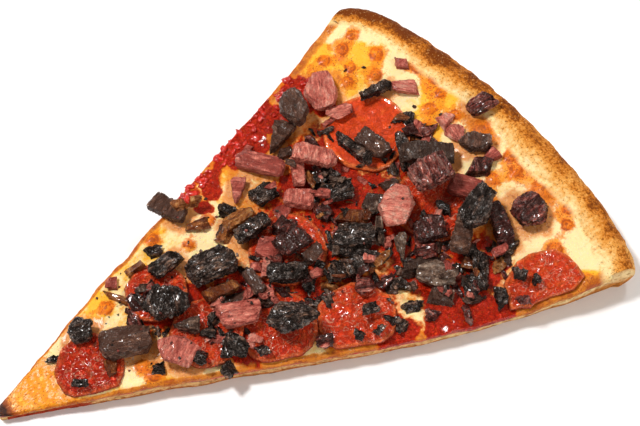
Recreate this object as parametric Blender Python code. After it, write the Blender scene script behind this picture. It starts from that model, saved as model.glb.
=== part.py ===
"""A large slice cut from a thin, hand-stretched pizza, with pepperoni and chunks of meat on top.

The layers that show at the cut sides are dough, sauce and cheese, one solid each. Every slice of
pepperoni and every larger chunk is a solid of its own, laid down one after the other on what is
already there. Small bits are fused to the cheese or to the pepperoni under them.

Lengths are in millimetres until a mesh is made. X runs from the tip to the middle of the rim,
Y to the left and Z up, and places on the slice are measured from its tip.
"""

import math
import random

import bmesh
import bpy
import numpy as np
from mathutils import Vector, noise

MM = 0.001
GAP = 0.3
SEED = 11

# Where the tip is, so that the middle of the slice's box is the origin
TIP_X = -104.9
TIP_Y = 1.9

# Plan of the slice
LEFT_LENGTH = 187.5
RIGHT_LENGTH = 208.5
LEFT_SLOPE = 0.378
RIGHT_SLOPE = 0.41
RIGHT_BEND = 0.0013
RIGHT_BEND_START = 110.0
TIP_HALF_WIDTH = 2.0
TIP_BULGE = 2.4
TIP_FADE = 5.0
RIM_BULGE = 12.0
RIM_TURN = math.radians(7.0)
LEFT_CORNER = 0.03
RIGHT_CORNER = 0.012
CORNER_POWER = 14
EDGE_WAVE = 0.7

# Heights of the layers, at the tip and over most of the slice
DOUGH_TIP = 2.2
DOUGH = 4.7
SAUCE_TIP = 0.5
SAUCE = 0.9
CHEESE_TIP = 1.3
CHEESE = 2.3
TIP_RAMP = 50.0
EDGE_DROP = 0.7
CHEESE_BULGE = 0.5
CHEESE_LEAST = 0.7

# Rim of bare crust outside the cheese
CHEESE_END = 0.927
CHEESE_END_WAVE = 0.006
RIM_HEIGHT = 14.0
RIM_HEIGHT_WAVE = 1.3
RIM_RISE = 4.2
RIM_RISE_START = 0.77
RIM_WAIST = 6.0
RIM_UNDERCUT = 5.0
RIM_CREST = 0.5
RIM_ROUGHNESS = 0.55
LIP_OUT = 0.055
LIP_DROP = 0.5
UNDERSIDE_INSET = 0.985

# Grids: rows run across the slice, and columns along it
INNER_ROWS = 13
INNER_COLUMNS = 15
RIM_COLUMNS = 35
CHEESE_ROWS = 52
CHEESE_COLUMNS = 33
UNDERSIDE_ROWS = (0.0, 0.06, 0.3, 0.6, 0.85)

# Pepperoni
PEPPERONI_THICKNESS = 1.3
PEPPERONI_SIDES = 18
PEPPERONI_RINGS = (0.42, 0.76, 1.0)
PEPPERONI_CURL = 0.55
PEPPERONI_EDGE_MARGIN = 0.8

# Rings of a chunk, from its underside to its top: share of its outline and share of its height
CHUNK_RINGS = ((0.92, 0.0), (1.0, 0.18), (0.99, 0.84), (0.91, 1.0))
CHUNK_UNEVEN = 0.14
CORNER_CUT = 0.11
LEAN_LIMIT = 0.5
LEAN_SHARES = (0.0, 0.45, 0.85)

# A chunk may slide this far to lie lower, and how much lower it has to lie for each millimetre
SLIDE = 3.5
SLIDE_COST = 0.35
BESIDE_SLICE = 12.0

# Bits that are fused to what they lie on
BIT_SUNK = 0.4
BIT_CLEARANCE = 1.2
FLAKE_COUNT = 26
FLAKE_SIZE = (1.6, 3.0)

# Cells of the height map that tells where the next piece comes to rest
CELL = 0.5
MAP_LOW = (-20.0, -95.0)
MAP_SIZE = (500, 380)

CRUST = (0.70, 0.36, 0.13)
TOMATO = (0.52, 0.04, 0.02)
MOZZARELLA = (0.90, 0.66, 0.30)
COLOURS = {
    "pepperoni": (0.58, 0.06, 0.03),
    "ham": (0.46, 0.14, 0.10),
    "bacon": (0.30, 0.06, 0.05),
    "brisket": (0.045, 0.028, 0.022),
    "beef": (0.15, 0.075, 0.05),
    "mushroom": (0.30, 0.21, 0.15),
    "onion": (0.33, 0.13, 0.05),
}

# Slices of pepperoni: centre along and across the slice, and radius
PEPPERONI = (
    (158, 21, 15.5),
    (175, -63, 13.5),
    (115, -38, 14.0),
    (31, -4, 12.0),
    (109, -3, 14.0),
    (91, -26, 13.5),
    (70, -15, 12.5),
    (63, 7, 11.0),
    (162, -16, 14.5),
)

# Baked blisters of the cheese: place along and across the slice, radius and height
BLISTERS = (
    (176, 58, 2.8, 0.6),
    (170, 55, 2.8, 0.7),
    (162, 55, 2.8, 0.6),
    (179, 46, 3.2, 0.8),
    (168, 47, 2.6, 0.6),
    (174, 39, 3.0, 0.7),
    (164, 43, 2.6, 0.6),
    (155, 51, 3.0, 0.5),
    (188, 33, 3.6, 0.8),
    (190, 25, 2.8, 0.7),
    (189, 19, 2.6, 0.6),
    (182, 16, 3.0, 0.7),
    (175, 11, 2.8, 0.6),
    (188, 9, 2.8, 0.7),
    (193, -1, 4.4, 1.0),
    (195, -16, 3.4, 0.8),
    (193, -22, 3.2, 0.7),
    (184, -20, 3.0, 0.6),
    (179, -25, 3.0, 0.6),
    (196, -33, 5.0, 1.0),
    (199, -44, 2.8, 0.7),
    (195, -49, 3.0, 0.7),
    (186, -54, 3.4, 0.8),
    (188, -70, 3.4, 0.8),
    (46, -13, 3.0, 0.6),
    (48, -18, 3.0, 0.5),
    (82, 18, 2.6, 0.5),
    (46, 12, 3.2, 0.5),
    (92, 22, 3.4, 0.6),
    (104, -42, 3.2, 0.6),
    (128, 40, 3.6, 0.6),
    (116, 33, 3.0, 0.5),
    (140, -57, 3.4, 0.6),
    (72, 26, 3.2, 0.5),
)

# Chunks in the order in which they are laid: kind, centre along and across the slice, length,
# width, height, turn of the length in degrees, and corners of the outline
CHUNKS = (
    ("brisket", 34, 8, 10, 9, 4, -31, 5),
    ("beef", 44, -2, 17, 11, 5, -19, 4),
    ("brisket", 71, 13, 13, 7, 4, 14, 4),
    ("brisket", 80, 5, 19, 10, 6, -8, 4),
    ("mushroom", 65, -11, 9, 7, 4, -28, 3),
    ("brisket", 63, -4, 17, 12, 5, -25, 5),
    ("ham", 56, -15, 14, 11, 3, -61, 5),
    ("onion", 83, -3, 14, 5, 3, -8, 4),
    ("beef", 91, -7, 11, 5, 4, -86, 4),
    ("ham", 82, -17, 15, 9, 3, -17, 4),
    ("brisket", 75, -26, 10, 7, 4, -61, 5),
    ("brisket", 93, -25, 20, 11, 5, -22, 5),
    ("brisket", 103, -12, 15, 7, 4, -29, 4),
    ("ham", 102, -1, 9, 9, 3, -13, 5),
    ("brisket", 102, 7, 15, 7, 5, 4, 4),
    ("bacon", 111, -4, 12, 8, 4, 6, 4),
    ("onion", 101, 14, 12, 5, 3, 1, 4),
    ("ham", 106, 25, 12, 6, 3, 52, 3),
    ("brisket", 111, 20, 10, 8, 4, 4, 4),
    ("ham", 117, 28, 18, 7, 4, -48, 4),
    ("beef", 128, 34, 14, 9, 4, 33, 3),
    ("beef", 140, 41, 15, 11, 6, 72, 5),
    ("ham", 152, 42, 16, 12, 4, 67, 6),
    ("ham", 122, 11, 11, 7, 4, -37, 4),
    ("ham", 126, 20, 12, 5, 4, 63, 4),
    ("ham", 136, 21, 16, 8, 4, -42, 4),
    ("beef", 156, 15, 13, 8, 4, -77, 4),
    ("brisket", 161, 7, 15, 5, 4, 68, 4),
    ("brisket", 169, 32, 13, 4, 4, -3, 4),
    ("mushroom", 170, -1, 20, 9, 4, -30, 4),
    ("brisket", 136, 6, 12, 8, 4, -19, 4),
    ("mushroom", 144, -5, 9, 9, 4, -19, 5),
    ("brisket", 130, -12, 16, 9, 5, -30, 4),
    ("brisket", 122, -22, 13, 7, 4, -16, 4),
    ("mushroom", 142, -25, 14, 5, 4, 62, 3),
    ("bacon", 154, -24, 11, 10, 4, -20, 4),
    ("beef", 161, -29, 18, 7, 4, 44, 4),
    ("mushroom", 147, -39, 13, 10, 4, -37, 6),
    ("bacon", 176, -36, 17, 7, 4, 75, 4),
    ("ham", 174, -18, 12, 8, 4, -49, 4),
    ("brisket", 154, -48, 10, 8, 4, -14, 4),
    ("brisket", 169, -30, 19, 11, 5, 30, 5),
    ("bacon", 187, -37, 13, 13, 5, -40, 5),
    ("bacon", 164, -6, 15, 12, 5, -5, 4),
    ("ham", 149, -13, 17, 12, 4, 55, 6),
    ("beef", 185, -5, 12, 8, 4, -35, 5),
    ("bacon", 197, 6, 10, 7, 4, 1, 4),
)

# The one chunk that sticks out over the left cut edge
OVERHANGING = ("beef", 83, 33, 15, 8, 4, -65, 4)

# Bits fused to the cheese: centre along and across the slice, length, width, height and turn
CHEESE_BITS = (
    (37, -9, 6, 4, 3, 70),
    (22, 6, 5, 3, 2, -30),
    (51, 13, 10, 3, 3, -52),
    (52, 18, 4, 4, 3, -33),
    (61, 18, 8, 3, 3, -3),
    (70, 21, 6, 4, 3, -22),
    (88, 22, 10, 4, 3, -18),
    (94, 15, 8, 4, 3, 37),
    (117, 38, 9, 3, 3, 29),
    (184, 9, 6, 5, 2, -74),
    (184, 37, 6, 5, 3, -33),
    (180, 28, 9, 6, 3, -25),
    (183, -14, 9, 6, 4, -31),
    (184, 3, 8, 6, 3, 52),
    (50, -17, 5, 4, 3, -22),
    (137, -50, 6, 4, 3, 26),
    (133, -44, 8, 4, 3, -28),
    (148, -56, 8, 3, 3, 70),
    (102, -40, 6, 4, 3, -10),
    (82, -31, 5, 4, 3, -18),
)

# Bits fused to a slice of pepperoni: its number, then as above
PEPPERONI_BITS = (
    (2, 169, -56, 6, 4, 3, -48),
    (2, 173, -60, 5, 3, 3, 53),
    (2, 166, -64, 5, 3, 2, -33),
    (3, 120, -38, 7, 4, 3, -6),
    (3, 112, -44, 5, 3, 2, -57),
    (3, 119, -46, 5, 3, 2, 20),
    (4, 25, -8, 7, 3, 2, -38),
)


def clear_scene():
    for item in list(bpy.data.objects):
        bpy.data.objects.remove(item, do_unlink=True)


def ease(value):
    """Goes smoothly from 0 to 1 as the value does."""
    value = min(max(value, 0.0), 1.0)
    return value * value * (3.0 - 2.0 * value)


def wave(x, y, size, layer):
    """Smooth bumps of about the given size, between -1 and 1."""
    return noise.noise(Vector((x / size, y / size, layer)))


def edge_point(along, side):
    """A point of the left (+1) or right (-1) cut edge, from 0 at the tip to 1 at the rim."""
    if side > 0:
        x = along * LEFT_LENGTH
        y = TIP_HALF_WIDTH + LEFT_SLOPE * x
    else:
        x = along * RIGHT_LENGTH
        y = -TIP_HALF_WIDTH - RIGHT_SLOPE * x + RIGHT_BEND * max(0.0, x - RIGHT_BEND_START) ** 2
    return x, y + EDGE_WAVE * ease(x / TIP_RAMP) * wave(x, side, 11.0, 4.2)


def slice_point(along, across):
    """A point of the plan: along is 0 at the tip and 1 at the rim, across -1 right and 1 left."""
    corner = (LEFT_CORNER if across > 0.0 else RIGHT_CORNER) * abs(across) ** CORNER_POWER
    along = along - corner * ease((along - 0.85) / 0.15)
    left_x, left_y = edge_point(along, 1)
    right_x, right_y = edge_point(along, -1)
    share = (1.0 + across) / 2.0
    tip = TIP_BULGE * math.exp(-along * LEFT_LENGTH / TIP_FADE)
    bulge = (RIM_BULGE * along * along - tip) * (1.0 - across * across)
    x = right_x + (left_x - right_x) * share + bulge * math.cos(RIM_TURN)
    y = right_y + (left_y - right_y) * share + bulge * math.sin(RIM_TURN)
    return x, y


def cheese_end(across):
    """How far along the slice the cheese reaches."""
    return CHEESE_END + CHEESE_END_WAVE * math.sin(across * 9.0 + 1.0)


def dough_top(along, x, y):
    """Height of the dough, which rises towards the rim under the sauce and the cheese."""
    ramp = ease(x / TIP_RAMP)
    level = DOUGH_TIP + (DOUGH - DOUGH_TIP) * ramp + 0.3 * ramp * wave(x, y, 30.0, 0.5)
    return level + RIM_RISE * ease((along - RIM_RISE_START) / (CHEESE_END - RIM_RISE_START))


def sauce_top(along, x, y):
    thickness = SAUCE_TIP + (SAUCE - SAUCE_TIP) * ease(x / TIP_RAMP)
    return dough_top(along, x, y) + GAP + thickness


def cheese_relief(x, y):
    """Height of the lumps and blisters over the even cheese."""
    height = 0.55 * wave(x, y, 9.0, 1.3) + 0.3 * wave(x, y, 4.0, 7.7)
    for blister_x, blister_y, radius, rise in BLISTERS:
        distance = math.hypot(x - blister_x, y - blister_y)
        if distance < 2.5 * radius:
            height += rise * math.exp(-2.0 * (distance / radius) ** 2)
    return height * ease(x / 25.0)


def cheese_top(along, across, x, y):
    thickness = CHEESE_TIP + (CHEESE - CHEESE_TIP) * ease(x / TIP_RAMP)
    thickness += cheese_relief(x, y)
    thickness -= EDGE_DROP * ease((abs(across) - 0.9) / 0.1)
    return sauce_top(along, x, y) + GAP + max(thickness, CHEESE_LEAST)


class Solid:
    """Points in millimetres and triangles of one closed solid."""

    def __init__(self):
        self.points = []
        self.faces = []

    def row(self, points):
        first = len(self.points)
        self.points.extend(points)
        return list(range(first, len(self.points)))

    def spacing(self, path):
        """How far each point of a path lies along it, as a share of its length."""
        steps = [0.0]
        for one, other in zip(path, path[1:]):
            steps.append(steps[-1] + math.dist(self.points[one], self.points[other]))
        return [step / steps[-1] for step in steps]

    def stitch(self, first, second, by_length=False):
        """Joins two rows of points that run the same way by a strip of triangles."""
        if by_length:
            along_first = self.spacing(first)
            along_second = self.spacing(second)
        else:
            along_first = np.linspace(0.0, 1.0, len(first))
            along_second = np.linspace(0.0, 1.0, len(second))
        i = 0
        j = 0
        while i < len(first) - 1 or j < len(second) - 1:
            second_done = j == len(second) - 1
            first_done = i == len(first) - 1
            if second_done or (not first_done and along_first[i + 1] <= along_second[j + 1] + 1e-9):
                self.face(first[i], first[i + 1], second[j])
                i += 1
            else:
                self.face(first[i], second[j + 1], second[j])
                j += 1

    def face(self, *corners):
        if len(set(corners)) == 3:
            self.faces.append(corners)

    def sheet(self, rows):
        for one, other in zip(rows, rows[1:]):
            self.stitch(one, other)

    def fan(self, centre, ring):
        for one, other in zip(ring, ring[1:] + ring[:1]):
            self.face(centre, one, other)

    def band(self, lower, upper):
        """Joins two closed rings with equal numbers of points."""
        self.stitch(lower + lower[:1], upper + upper[:1])

    def moved(self, rise, lean=(0.0, 0.0), centre=(0.0, 0.0)):
        """Lifts every point, by more on the side that it leans away from."""
        self.points = [
            (x, y, z + rise + lean[0] * (x - centre[0]) + lean[1] * (y - centre[1]))
            for x, y, z in self.points
        ]


def borders(rows):
    """The four edges of a grid, each starting where the last one ended."""
    right = [row[-1] for row in rows]
    left = [row[0] for row in rows]
    return [rows[0], right, rows[-1][::-1], left[::-1]]


def plan_rows(row_count, column_count):
    """Rows of places under the cheese: along, across, x and y."""
    rows = []
    for share in np.linspace(0.0, 1.0, row_count):
        row = []
        for across in np.linspace(-1.0, 1.0, column_count):
            along = share * cheese_end(across)
            row.append((along, across) + slice_point(along, across))
        rows.append(row)
    return rows


def rim_row(out, height_of):
    """A row of the rim: out is 0 at the cheese's end and 1 at the outermost line."""
    row = []
    for across in np.linspace(-1.0, 1.0, RIM_COLUMNS):
        end = cheese_end(across)
        x, y = slice_point(end + (1.0 - end) * out, across)
        row.append((x, y, height_of(x, y)))
    return row


def rim_top(x, y):
    return RIM_HEIGHT + RIM_HEIGHT_WAVE * wave(x, y, 38.0, 2.2) + RIM_ROUGHNESS * wave(x, y, 6.0, 3.1)


def lip_height(x, y):
    return sauce_top(1.0, x, y) + GAP + CHEESE - LIP_DROP


def rim_rows():
    """Rows over the rim and round its outside to the flat underside."""
    rows = [rim_row(LIP_OUT, lip_height)]
    for share in (0.35, 0.7, 1.0):
        out = LIP_OUT + (RIM_CREST - LIP_OUT) * share
        rise = math.sin(share * math.pi / 2.0)
        rows.append(rim_row(out, lambda x, y: lip_height(x, y) * (1.0 - rise) + rim_top(x, y) * rise))
    for degrees in (64, 42, 20, 0):
        angle = math.radians(degrees)
        out = RIM_CREST + (1.0 - RIM_CREST) * math.cos(angle) ** 0.9
        level = math.sin(angle) ** 0.9
        rows.append(rim_row(out, lambda x, y: RIM_WAIST + (rim_top(x, y) - RIM_WAIST) * level))
    undercut = RIM_UNDERCUT / (RIGHT_LENGTH * (1.0 - CHEESE_END))
    for degrees in (35, 65, 90):
        angle = math.radians(degrees)
        out = 1.0 - undercut * (1.0 - math.cos(angle))
        level = RIM_WAIST * (1.0 - math.sin(angle))
        rows.append(rim_row(out, lambda x, y: level))
    return rows


def crust_solid():
    solid = Solid()
    inner = []
    for plan in plan_rows(INNER_ROWS, INNER_COLUMNS):
        inner.append(solid.row([(x, y, dough_top(along, x, y)) for along, _, x, y in plan]))
    outer = [solid.row(points) for points in rim_rows()]
    base_end = cheese_end(0.0) + (1.0 - cheese_end(0.0)) * 0.4
    base = []
    for share in UNDERSIDE_ROWS:
        places = np.linspace(-UNDERSIDE_INSET, UNDERSIDE_INSET, INNER_COLUMNS)
        base.append(solid.row([slice_point(share * base_end, place) + (0.0,) for place in places]))
    solid.sheet(inner)
    solid.stitch(inner[-1], outer[0])
    solid.sheet(outer)
    solid.stitch(outer[-1], base[-1])
    solid.sheet(base)
    solid.stitch(inner[0], base[0])
    waist = len(outer) - 4
    for end in (0, -1):
        upper = [row[end] for row in inner + outer[:waist + 1]]
        lower = [row[end] for row in base + outer[:waist - 1:-1]]
        solid.stitch(upper, lower, by_length=True)
    return solid


def sauce_solid():
    solid = Solid()
    lower = []
    upper = []
    for plan in plan_rows(INNER_ROWS, INNER_COLUMNS):
        lower.append(solid.row([(x, y, dough_top(along, x, y) + GAP) for along, _, x, y in plan]))
        upper.append(solid.row([(x, y, sauce_top(along, x, y)) for along, _, x, y in plan]))
    solid.sheet(lower)
    solid.sheet(upper)
    for one, other in zip(borders(lower), borders(upper)):
        solid.stitch(one, other)
    return solid


def cheese_solid():
    solid = Solid()
    lower = []
    for plan in plan_rows(INNER_ROWS, INNER_COLUMNS):
        lower.append(solid.row([(x, y, sauce_top(along, x, y) + GAP) for along, _, x, y in plan]))
    upper = []
    floors = {}
    for plan in plan_rows(CHEESE_ROWS, CHEESE_COLUMNS):
        row = solid.row([(x, y, cheese_top(*place, x, y)) for *place, x, y in plan])
        upper.append(row)
        for corner, (along, _, x, y) in zip(row, plan):
            floors[corner] = sauce_top(along, x, y) + GAP
    solid.sheet(lower)
    solid.sheet(upper)
    # The cut edge of the cheese bulges a little between its top and its underside
    middle = {}
    for side, path in enumerate(borders(upper)):
        out = -1.0 if side == 3 else 1.0 if side == 1 else 0.0
        for corner in path:
            x, y, z = solid.points[corner]
            if corner not in middle:
                bulge = out * CHEESE_BULGE * (0.6 + wave(x, y, 7.0, 5.5))
                middle[corner] = solid.row([(x, y + bulge, (z + floors[corner]) / 2.0)])[0]
    for above, below in zip(borders(upper), borders(lower)):
        between = [middle[corner] for corner in above]
        solid.stitch(above, between)
        solid.stitch(between, below, by_length=True)
    return solid


def spread(values, sign):
    """The largest (1) or smallest (-1) value of each cell and its eight neighbours."""
    padded = np.pad(values, 1, mode="edge") * sign
    rows, columns = values.shape
    best = np.full(values.shape, -np.inf)
    for i in range(3):
        for j in range(3):
            best = np.maximum(best, padded[i:i + rows, j:j + columns])
    return best * sign


class HeightMap:
    """The highest point over each cell of all that has been laid so far."""

    def __init__(self):
        self.top = np.zeros(MAP_SIZE)

    def shadow(self, solid, margin=1):
        """The cells that a solid lies over, with its lowest and highest point in each."""
        points = np.array(solid.points)
        cells = (points[:, :2] - MAP_LOW) / CELL
        start = np.floor(cells.min(axis=0)).astype(int) - margin
        size = np.ceil(cells.max(axis=0)).astype(int) + margin + 1 - start
        low = np.full(size, np.inf)
        high = np.full(size, -np.inf)
        cells = cells - start
        for face in solid.faces:
            (ax, ay), (bx, by), (cx, cy) = cells[list(face)]
            za, zb, zc = points[list(face), 2]
            area = (bx - ax) * (cy - ay) - (cx - ax) * (by - ay)
            if abs(area) < 1e-9:
                continue
            i0 = int(min(ax, bx, cx))
            j0 = int(min(ay, by, cy))
            i1 = int(max(ax, bx, cx)) + 2
            j1 = int(max(ay, by, cy)) + 2
            i, j = np.meshgrid(np.arange(i0, i1), np.arange(j0, j1), indexing="ij")
            b = ((i - ax) * (cy - ay) - (cx - ax) * (j - ay)) / area
            c = ((bx - ax) * (j - ay) - (i - ax) * (by - ay)) / area
            inside = (b >= -1e-6) & (c >= -1e-6) & (b + c <= 1.0 + 1e-6)
            z = za + b * (zb - za) + c * (zc - za)
            low[i0:i1, j0:j1] = np.where(inside, np.minimum(low[i0:i1, j0:j1], z), low[i0:i1, j0:j1])
            high[i0:i1, j0:j1] = np.where(inside, np.maximum(high[i0:i1, j0:j1], z), high[i0:i1, j0:j1])
        window = (slice(start[0], start[0] + size[0]), slice(start[1], start[1] + size[1]))
        return window, low, high

    def slide(self, solid):
        """The small move sideways after which a solid lies lowest."""
        window, low, _ = self.shadow(solid)
        low = spread(low, -1.0)
        top = spread(np.where(self.top > 0.0, self.top, BESIDE_SLICE), 1.0)
        covered = np.isfinite(low)
        reach = int(SLIDE / CELL)
        best = None
        for i in range(-reach, reach + 1):
            for j in range(-reach, reach + 1):
                distance = math.hypot(i, j) * CELL
                below = top[window[0].start + i:window[0].stop + i, window[1].start + j:window[1].stop + j]
                cost = (below[covered] - low[covered]).max() + SLIDE_COST * distance
                if distance <= SLIDE and (best is None or cost < best[0]):
                    best = (cost, i * CELL, j * CELL)
        return best[1:]

    def lean(self, solid, centre):
        """Slope of what lies under a solid."""
        window, low, _ = self.shadow(solid)
        under = np.isfinite(low) & (self.top[window] > 0.0)
        covered = np.argwhere(under)
        heights = self.top[window][under]
        places = (covered + [window[0].start, window[1].start]) * CELL + MAP_LOW - centre
        table = np.column_stack([places, np.ones(len(places))])
        slope = np.linalg.lstsq(table, heights, rcond=None)[0][:2]
        steepness = float(np.hypot(*slope))
        if steepness > LEAN_LIMIT:
            slope = slope * LEAN_LIMIT / steepness
        return float(slope[0]), float(slope[1])

    def rise(self, solid):
        """How far a solid has to be lifted to lie just clear of what is there."""
        window, low, _ = self.shadow(solid)
        low = spread(low, -1.0)
        below = spread(self.top[window], 1.0)
        covered = np.isfinite(low)
        return float((below[covered] - low[covered]).max()) + GAP

    def add(self, solid):
        window, _, high = self.shadow(solid)
        self.top[window] = np.maximum(self.top[window], high)

    def height(self, x, y, reach):
        """The highest point within reach of a place."""
        i, j = ((np.array((x, y)) - MAP_LOW) / CELL).astype(int)
        cells = int(math.ceil(reach / CELL))
        return float(self.top[i - cells:i + cells + 1, j - cells:j + cells + 1].max())

    def flat_around(self, solid, other, clearance):
        """Whether nothing lies over the other map's surface near a solid."""
        window, low, _ = self.shadow(solid, int(clearance / CELL) + 1)
        near = np.isfinite(low)
        for _ in range(int(clearance / CELL)):
            near = spread(near.astype(float), 1.0) > 0.5
        return bool(np.all(self.top[window][near] - other.top[window][near] < 1e-6))


def reach_to_edge(x, y, angle, radius):
    """How far a round slice reaches in one direction before the cut edge ends it."""
    step = 0.25
    distance = 0.0
    while distance < radius:
        px = x + (distance + step) * math.cos(angle)
        py = y + (distance + step) * math.sin(angle)
        left_y = edge_point(px / LEFT_LENGTH, 1)[1] - PEPPERONI_EDGE_MARGIN
        right_y = edge_point(px / RIGHT_LENGTH, -1)[1] + PEPPERONI_EDGE_MARGIN
        if not right_y < py < left_y:
            return max(distance, step)
        distance += step
    return radius


def pepperoni_solid(x, y, radius, draw, pile):
    """A thin slice that follows what it lies on, with its edge turned up a little."""
    solid = Solid()
    spin = draw.uniform(0.0, 1.0)
    angles = [2.0 * math.pi * (side + spin) / PEPPERONI_SIDES for side in range(PEPPERONI_SIDES)]
    uneven = [draw.uniform(0.95, 1.05) for _ in angles]
    reaches = [reach_to_edge(x, y, angle, radius * grow) for angle, grow in zip(angles, uneven)]
    curls = [draw.uniform(0.2, 1.0) * PEPPERONI_CURL for _ in angles]
    centre = (x, y, pile.height(x, y, 2.0))
    lower = []
    upper = []
    for share in PEPPERONI_RINGS:
        low_ring = []
        high_ring = []
        for angle, reach, curl in zip(angles, reaches, curls):
            px = x + share * reach * math.cos(angle)
            py = y + share * reach * math.sin(angle)
            z = pile.height(px, py, 1.5) + curl * share ** 6
            low_ring.append((px, py, z))
            high_ring.append((px, py, z + PEPPERONI_THICKNESS * (1.0 - 0.25 * share ** 4)))
        lower.append(solid.row(low_ring))
        upper.append(solid.row(high_ring))
    low_centre = solid.row([centre])[0]
    high_centre = solid.row([(x, y, centre[2] + PEPPERONI_THICKNESS)])[0]
    for rings, middle in ((lower, low_centre), (upper, high_centre)):
        solid.fan(middle, rings[0])
        for one, other in zip(rings, rings[1:]):
            solid.band(one, other)
    solid.band(lower[-1], upper[-1])
    solid.moved(pile.rise(solid))
    return solid


def outline(corners, length, width, cut):
    """A polygon that fills length by width, with each corner cut off where cut isn't 0."""
    sharp = []
    for corner in range(corners):
        angle = 2.0 * math.pi * (corner + 0.5) / corners
        sharp.append(np.array((math.cos(angle), math.sin(angle))))
    points = []
    for corner, point in enumerate(sharp):
        if cut:
            points.append(point + (sharp[corner - 1] - point) * cut)
            points.append(point + (sharp[(corner + 1) % corners] - point) * cut)
        else:
            points.append(point)
    points = np.array(points)
    low = points.min(axis=0)
    high = points.max(axis=0)
    return (points - (low + high) / 2.0) / (high - low) * (length, width)


def chunk_solid(place, size, turn, corners, draw, pile, sliding=True):
    """A chopped piece with rounded, uneven edges, dropped on the pile."""
    x, y = place
    length, width, height = size
    solid = Solid()
    shape = outline(corners, length, width, CORNER_CUT)
    angle = math.radians(turn)
    spin = np.array(((math.cos(angle), -math.sin(angle)), (math.sin(angle), math.cos(angle))))
    shape = [spin @ point * draw.uniform(1.0 - CHUNK_UNEVEN, 1.0 + CHUNK_UNEVEN) for point in shape]
    rings = []
    for share, level in CHUNK_RINGS:
        ring = []
        for point in shape:
            px, py = point * share * draw.uniform(0.94, 1.06)
            ring.append((x + px, y + py, height * (level + draw.uniform(-0.07, 0.07))))
        rings.append(solid.row(ring))
    for one, other in zip(rings, rings[1:]):
        solid.band(one, other)
    solid.fan(solid.row([(x, y, height * 0.04)])[0], rings[0])
    solid.fan(solid.row([(x, y, height * 1.02)])[0], rings[-1])
    aside = pile.slide(solid) if sliding else (0.0, 0.0)
    solid.points = [(px + aside[0], py + aside[1], pz) for px, py, pz in solid.points]
    centre = (x + aside[0], y + aside[1])
    slope = pile.lean(solid, centre)
    level = solid.points
    tries = []
    for share in LEAN_SHARES:
        solid.points = level
        solid.moved(0.0, (slope[0] * share, slope[1] * share), centre)
        tries.append((pile.rise(solid), share))
    rise, share = min(tries)
    solid.points = level
    solid.moved(rise, (slope[0] * share, slope[1] * share), centre)
    return solid


def bit_solid(place, size, turn, draw, pile):
    """A small scrap, part sunk in what it lies on."""
    x, y = place
    length, width, height = size
    solid = Solid()
    shape = outline(4, length, width, 0.0)
    angle = math.radians(turn)
    spin = np.array(((math.cos(angle), -math.sin(angle)), (math.sin(angle), math.cos(angle))))
    base = pile.height(x, y, 1.0) - height * BIT_SUNK
    rings = []
    for share, level in ((0.9, 0.0), (0.8, 1.0)):
        ring = []
        for point in shape:
            px, py = spin @ point * share * draw.uniform(0.85, 1.15)
            ring.append((x + px, y + py, base + height * (level + draw.uniform(-0.12, 0.12))))
        rings.append(solid.row(ring))
    for ring in rings:
        solid.face(ring[0], ring[1], ring[2])
        solid.face(ring[0], ring[2], ring[3])
    solid.band(rings[0], rings[1])
    return solid


def material(name, colour, roughness):
    made = bpy.data.materials.new(name)
    made.use_nodes = True
    shader = made.node_tree.nodes["Principled BSDF"]
    shader.inputs["Base Color"].default_value = (*colour, 1.0)
    shader.inputs["Roughness"].default_value = roughness
    shader.inputs["Metallic"].default_value = 0.0
    return made


def build(name, solid, colour, roughness, collection=None, smooth=True):
    """Makes a solid an object, with its faces pointing out."""
    mesh = bpy.data.meshes.new(name)
    points = [((x + TIP_X) * MM, (y + TIP_Y) * MM, z * MM) for x, y, z in solid.points]
    mesh.from_pydata(points, [], solid.faces)
    work = bmesh.new()
    work.from_mesh(mesh)
    bmesh.ops.recalc_face_normals(work, faces=work.faces)
    work.to_mesh(mesh)
    work.free()
    if smooth:
        mesh.shade_smooth()
        mesh.set_sharp_from_angle(angle=math.radians(50.0))
    mesh.materials.append(material(name, colour, roughness))
    made = bpy.data.objects.new(name, mesh)
    (collection or bpy.context.scene.collection).objects.link(made)
    return made


def fuse(base, bits):
    """Joins bits to the solid that they lie on, and takes the separate bits away."""
    group = bpy.data.collections.new(base.name + "_bits")
    bpy.context.scene.collection.children.link(group)
    for number, bit in enumerate(bits):
        build(f"{base.name}_bit_{number}", bit, COLOURS["beef"], 0.6, group, smooth=False)
    union = base.modifiers.new("bits", "BOOLEAN")
    union.operation = "UNION"
    union.operand_type = "COLLECTION"
    union.collection = group
    union.solver = "MANIFOLD"
    bpy.context.view_layer.update()
    evaluated = base.evaluated_get(bpy.context.evaluated_depsgraph_get())
    joined = bpy.data.meshes.new_from_object(evaluated)
    base.modifiers.clear()
    base.data = joined
    for bit in list(group.objects):
        bpy.data.objects.remove(bit, do_unlink=True)
    bpy.data.collections.remove(group)


def flake_places(draw, bare, pile):
    """Small flakes scattered over the cheese that nothing covers."""
    found = []
    while len(found) < FLAKE_COUNT:
        x, y = slice_point(draw.uniform(0.12, 0.9), draw.uniform(-0.9, 0.9))
        size = draw.uniform(*FLAKE_SIZE)
        place = (x, y)
        flake = bit_solid(place, (size, size * 0.8, size * 0.7), draw.uniform(0, 180), draw, bare)
        taken = any(math.dist(place, other.points[0][:2]) < 8.0 for other in found)
        if not taken and pile.flat_around(flake, bare, BIT_CLEARANCE):
            found.append(flake)
    return found


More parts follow.
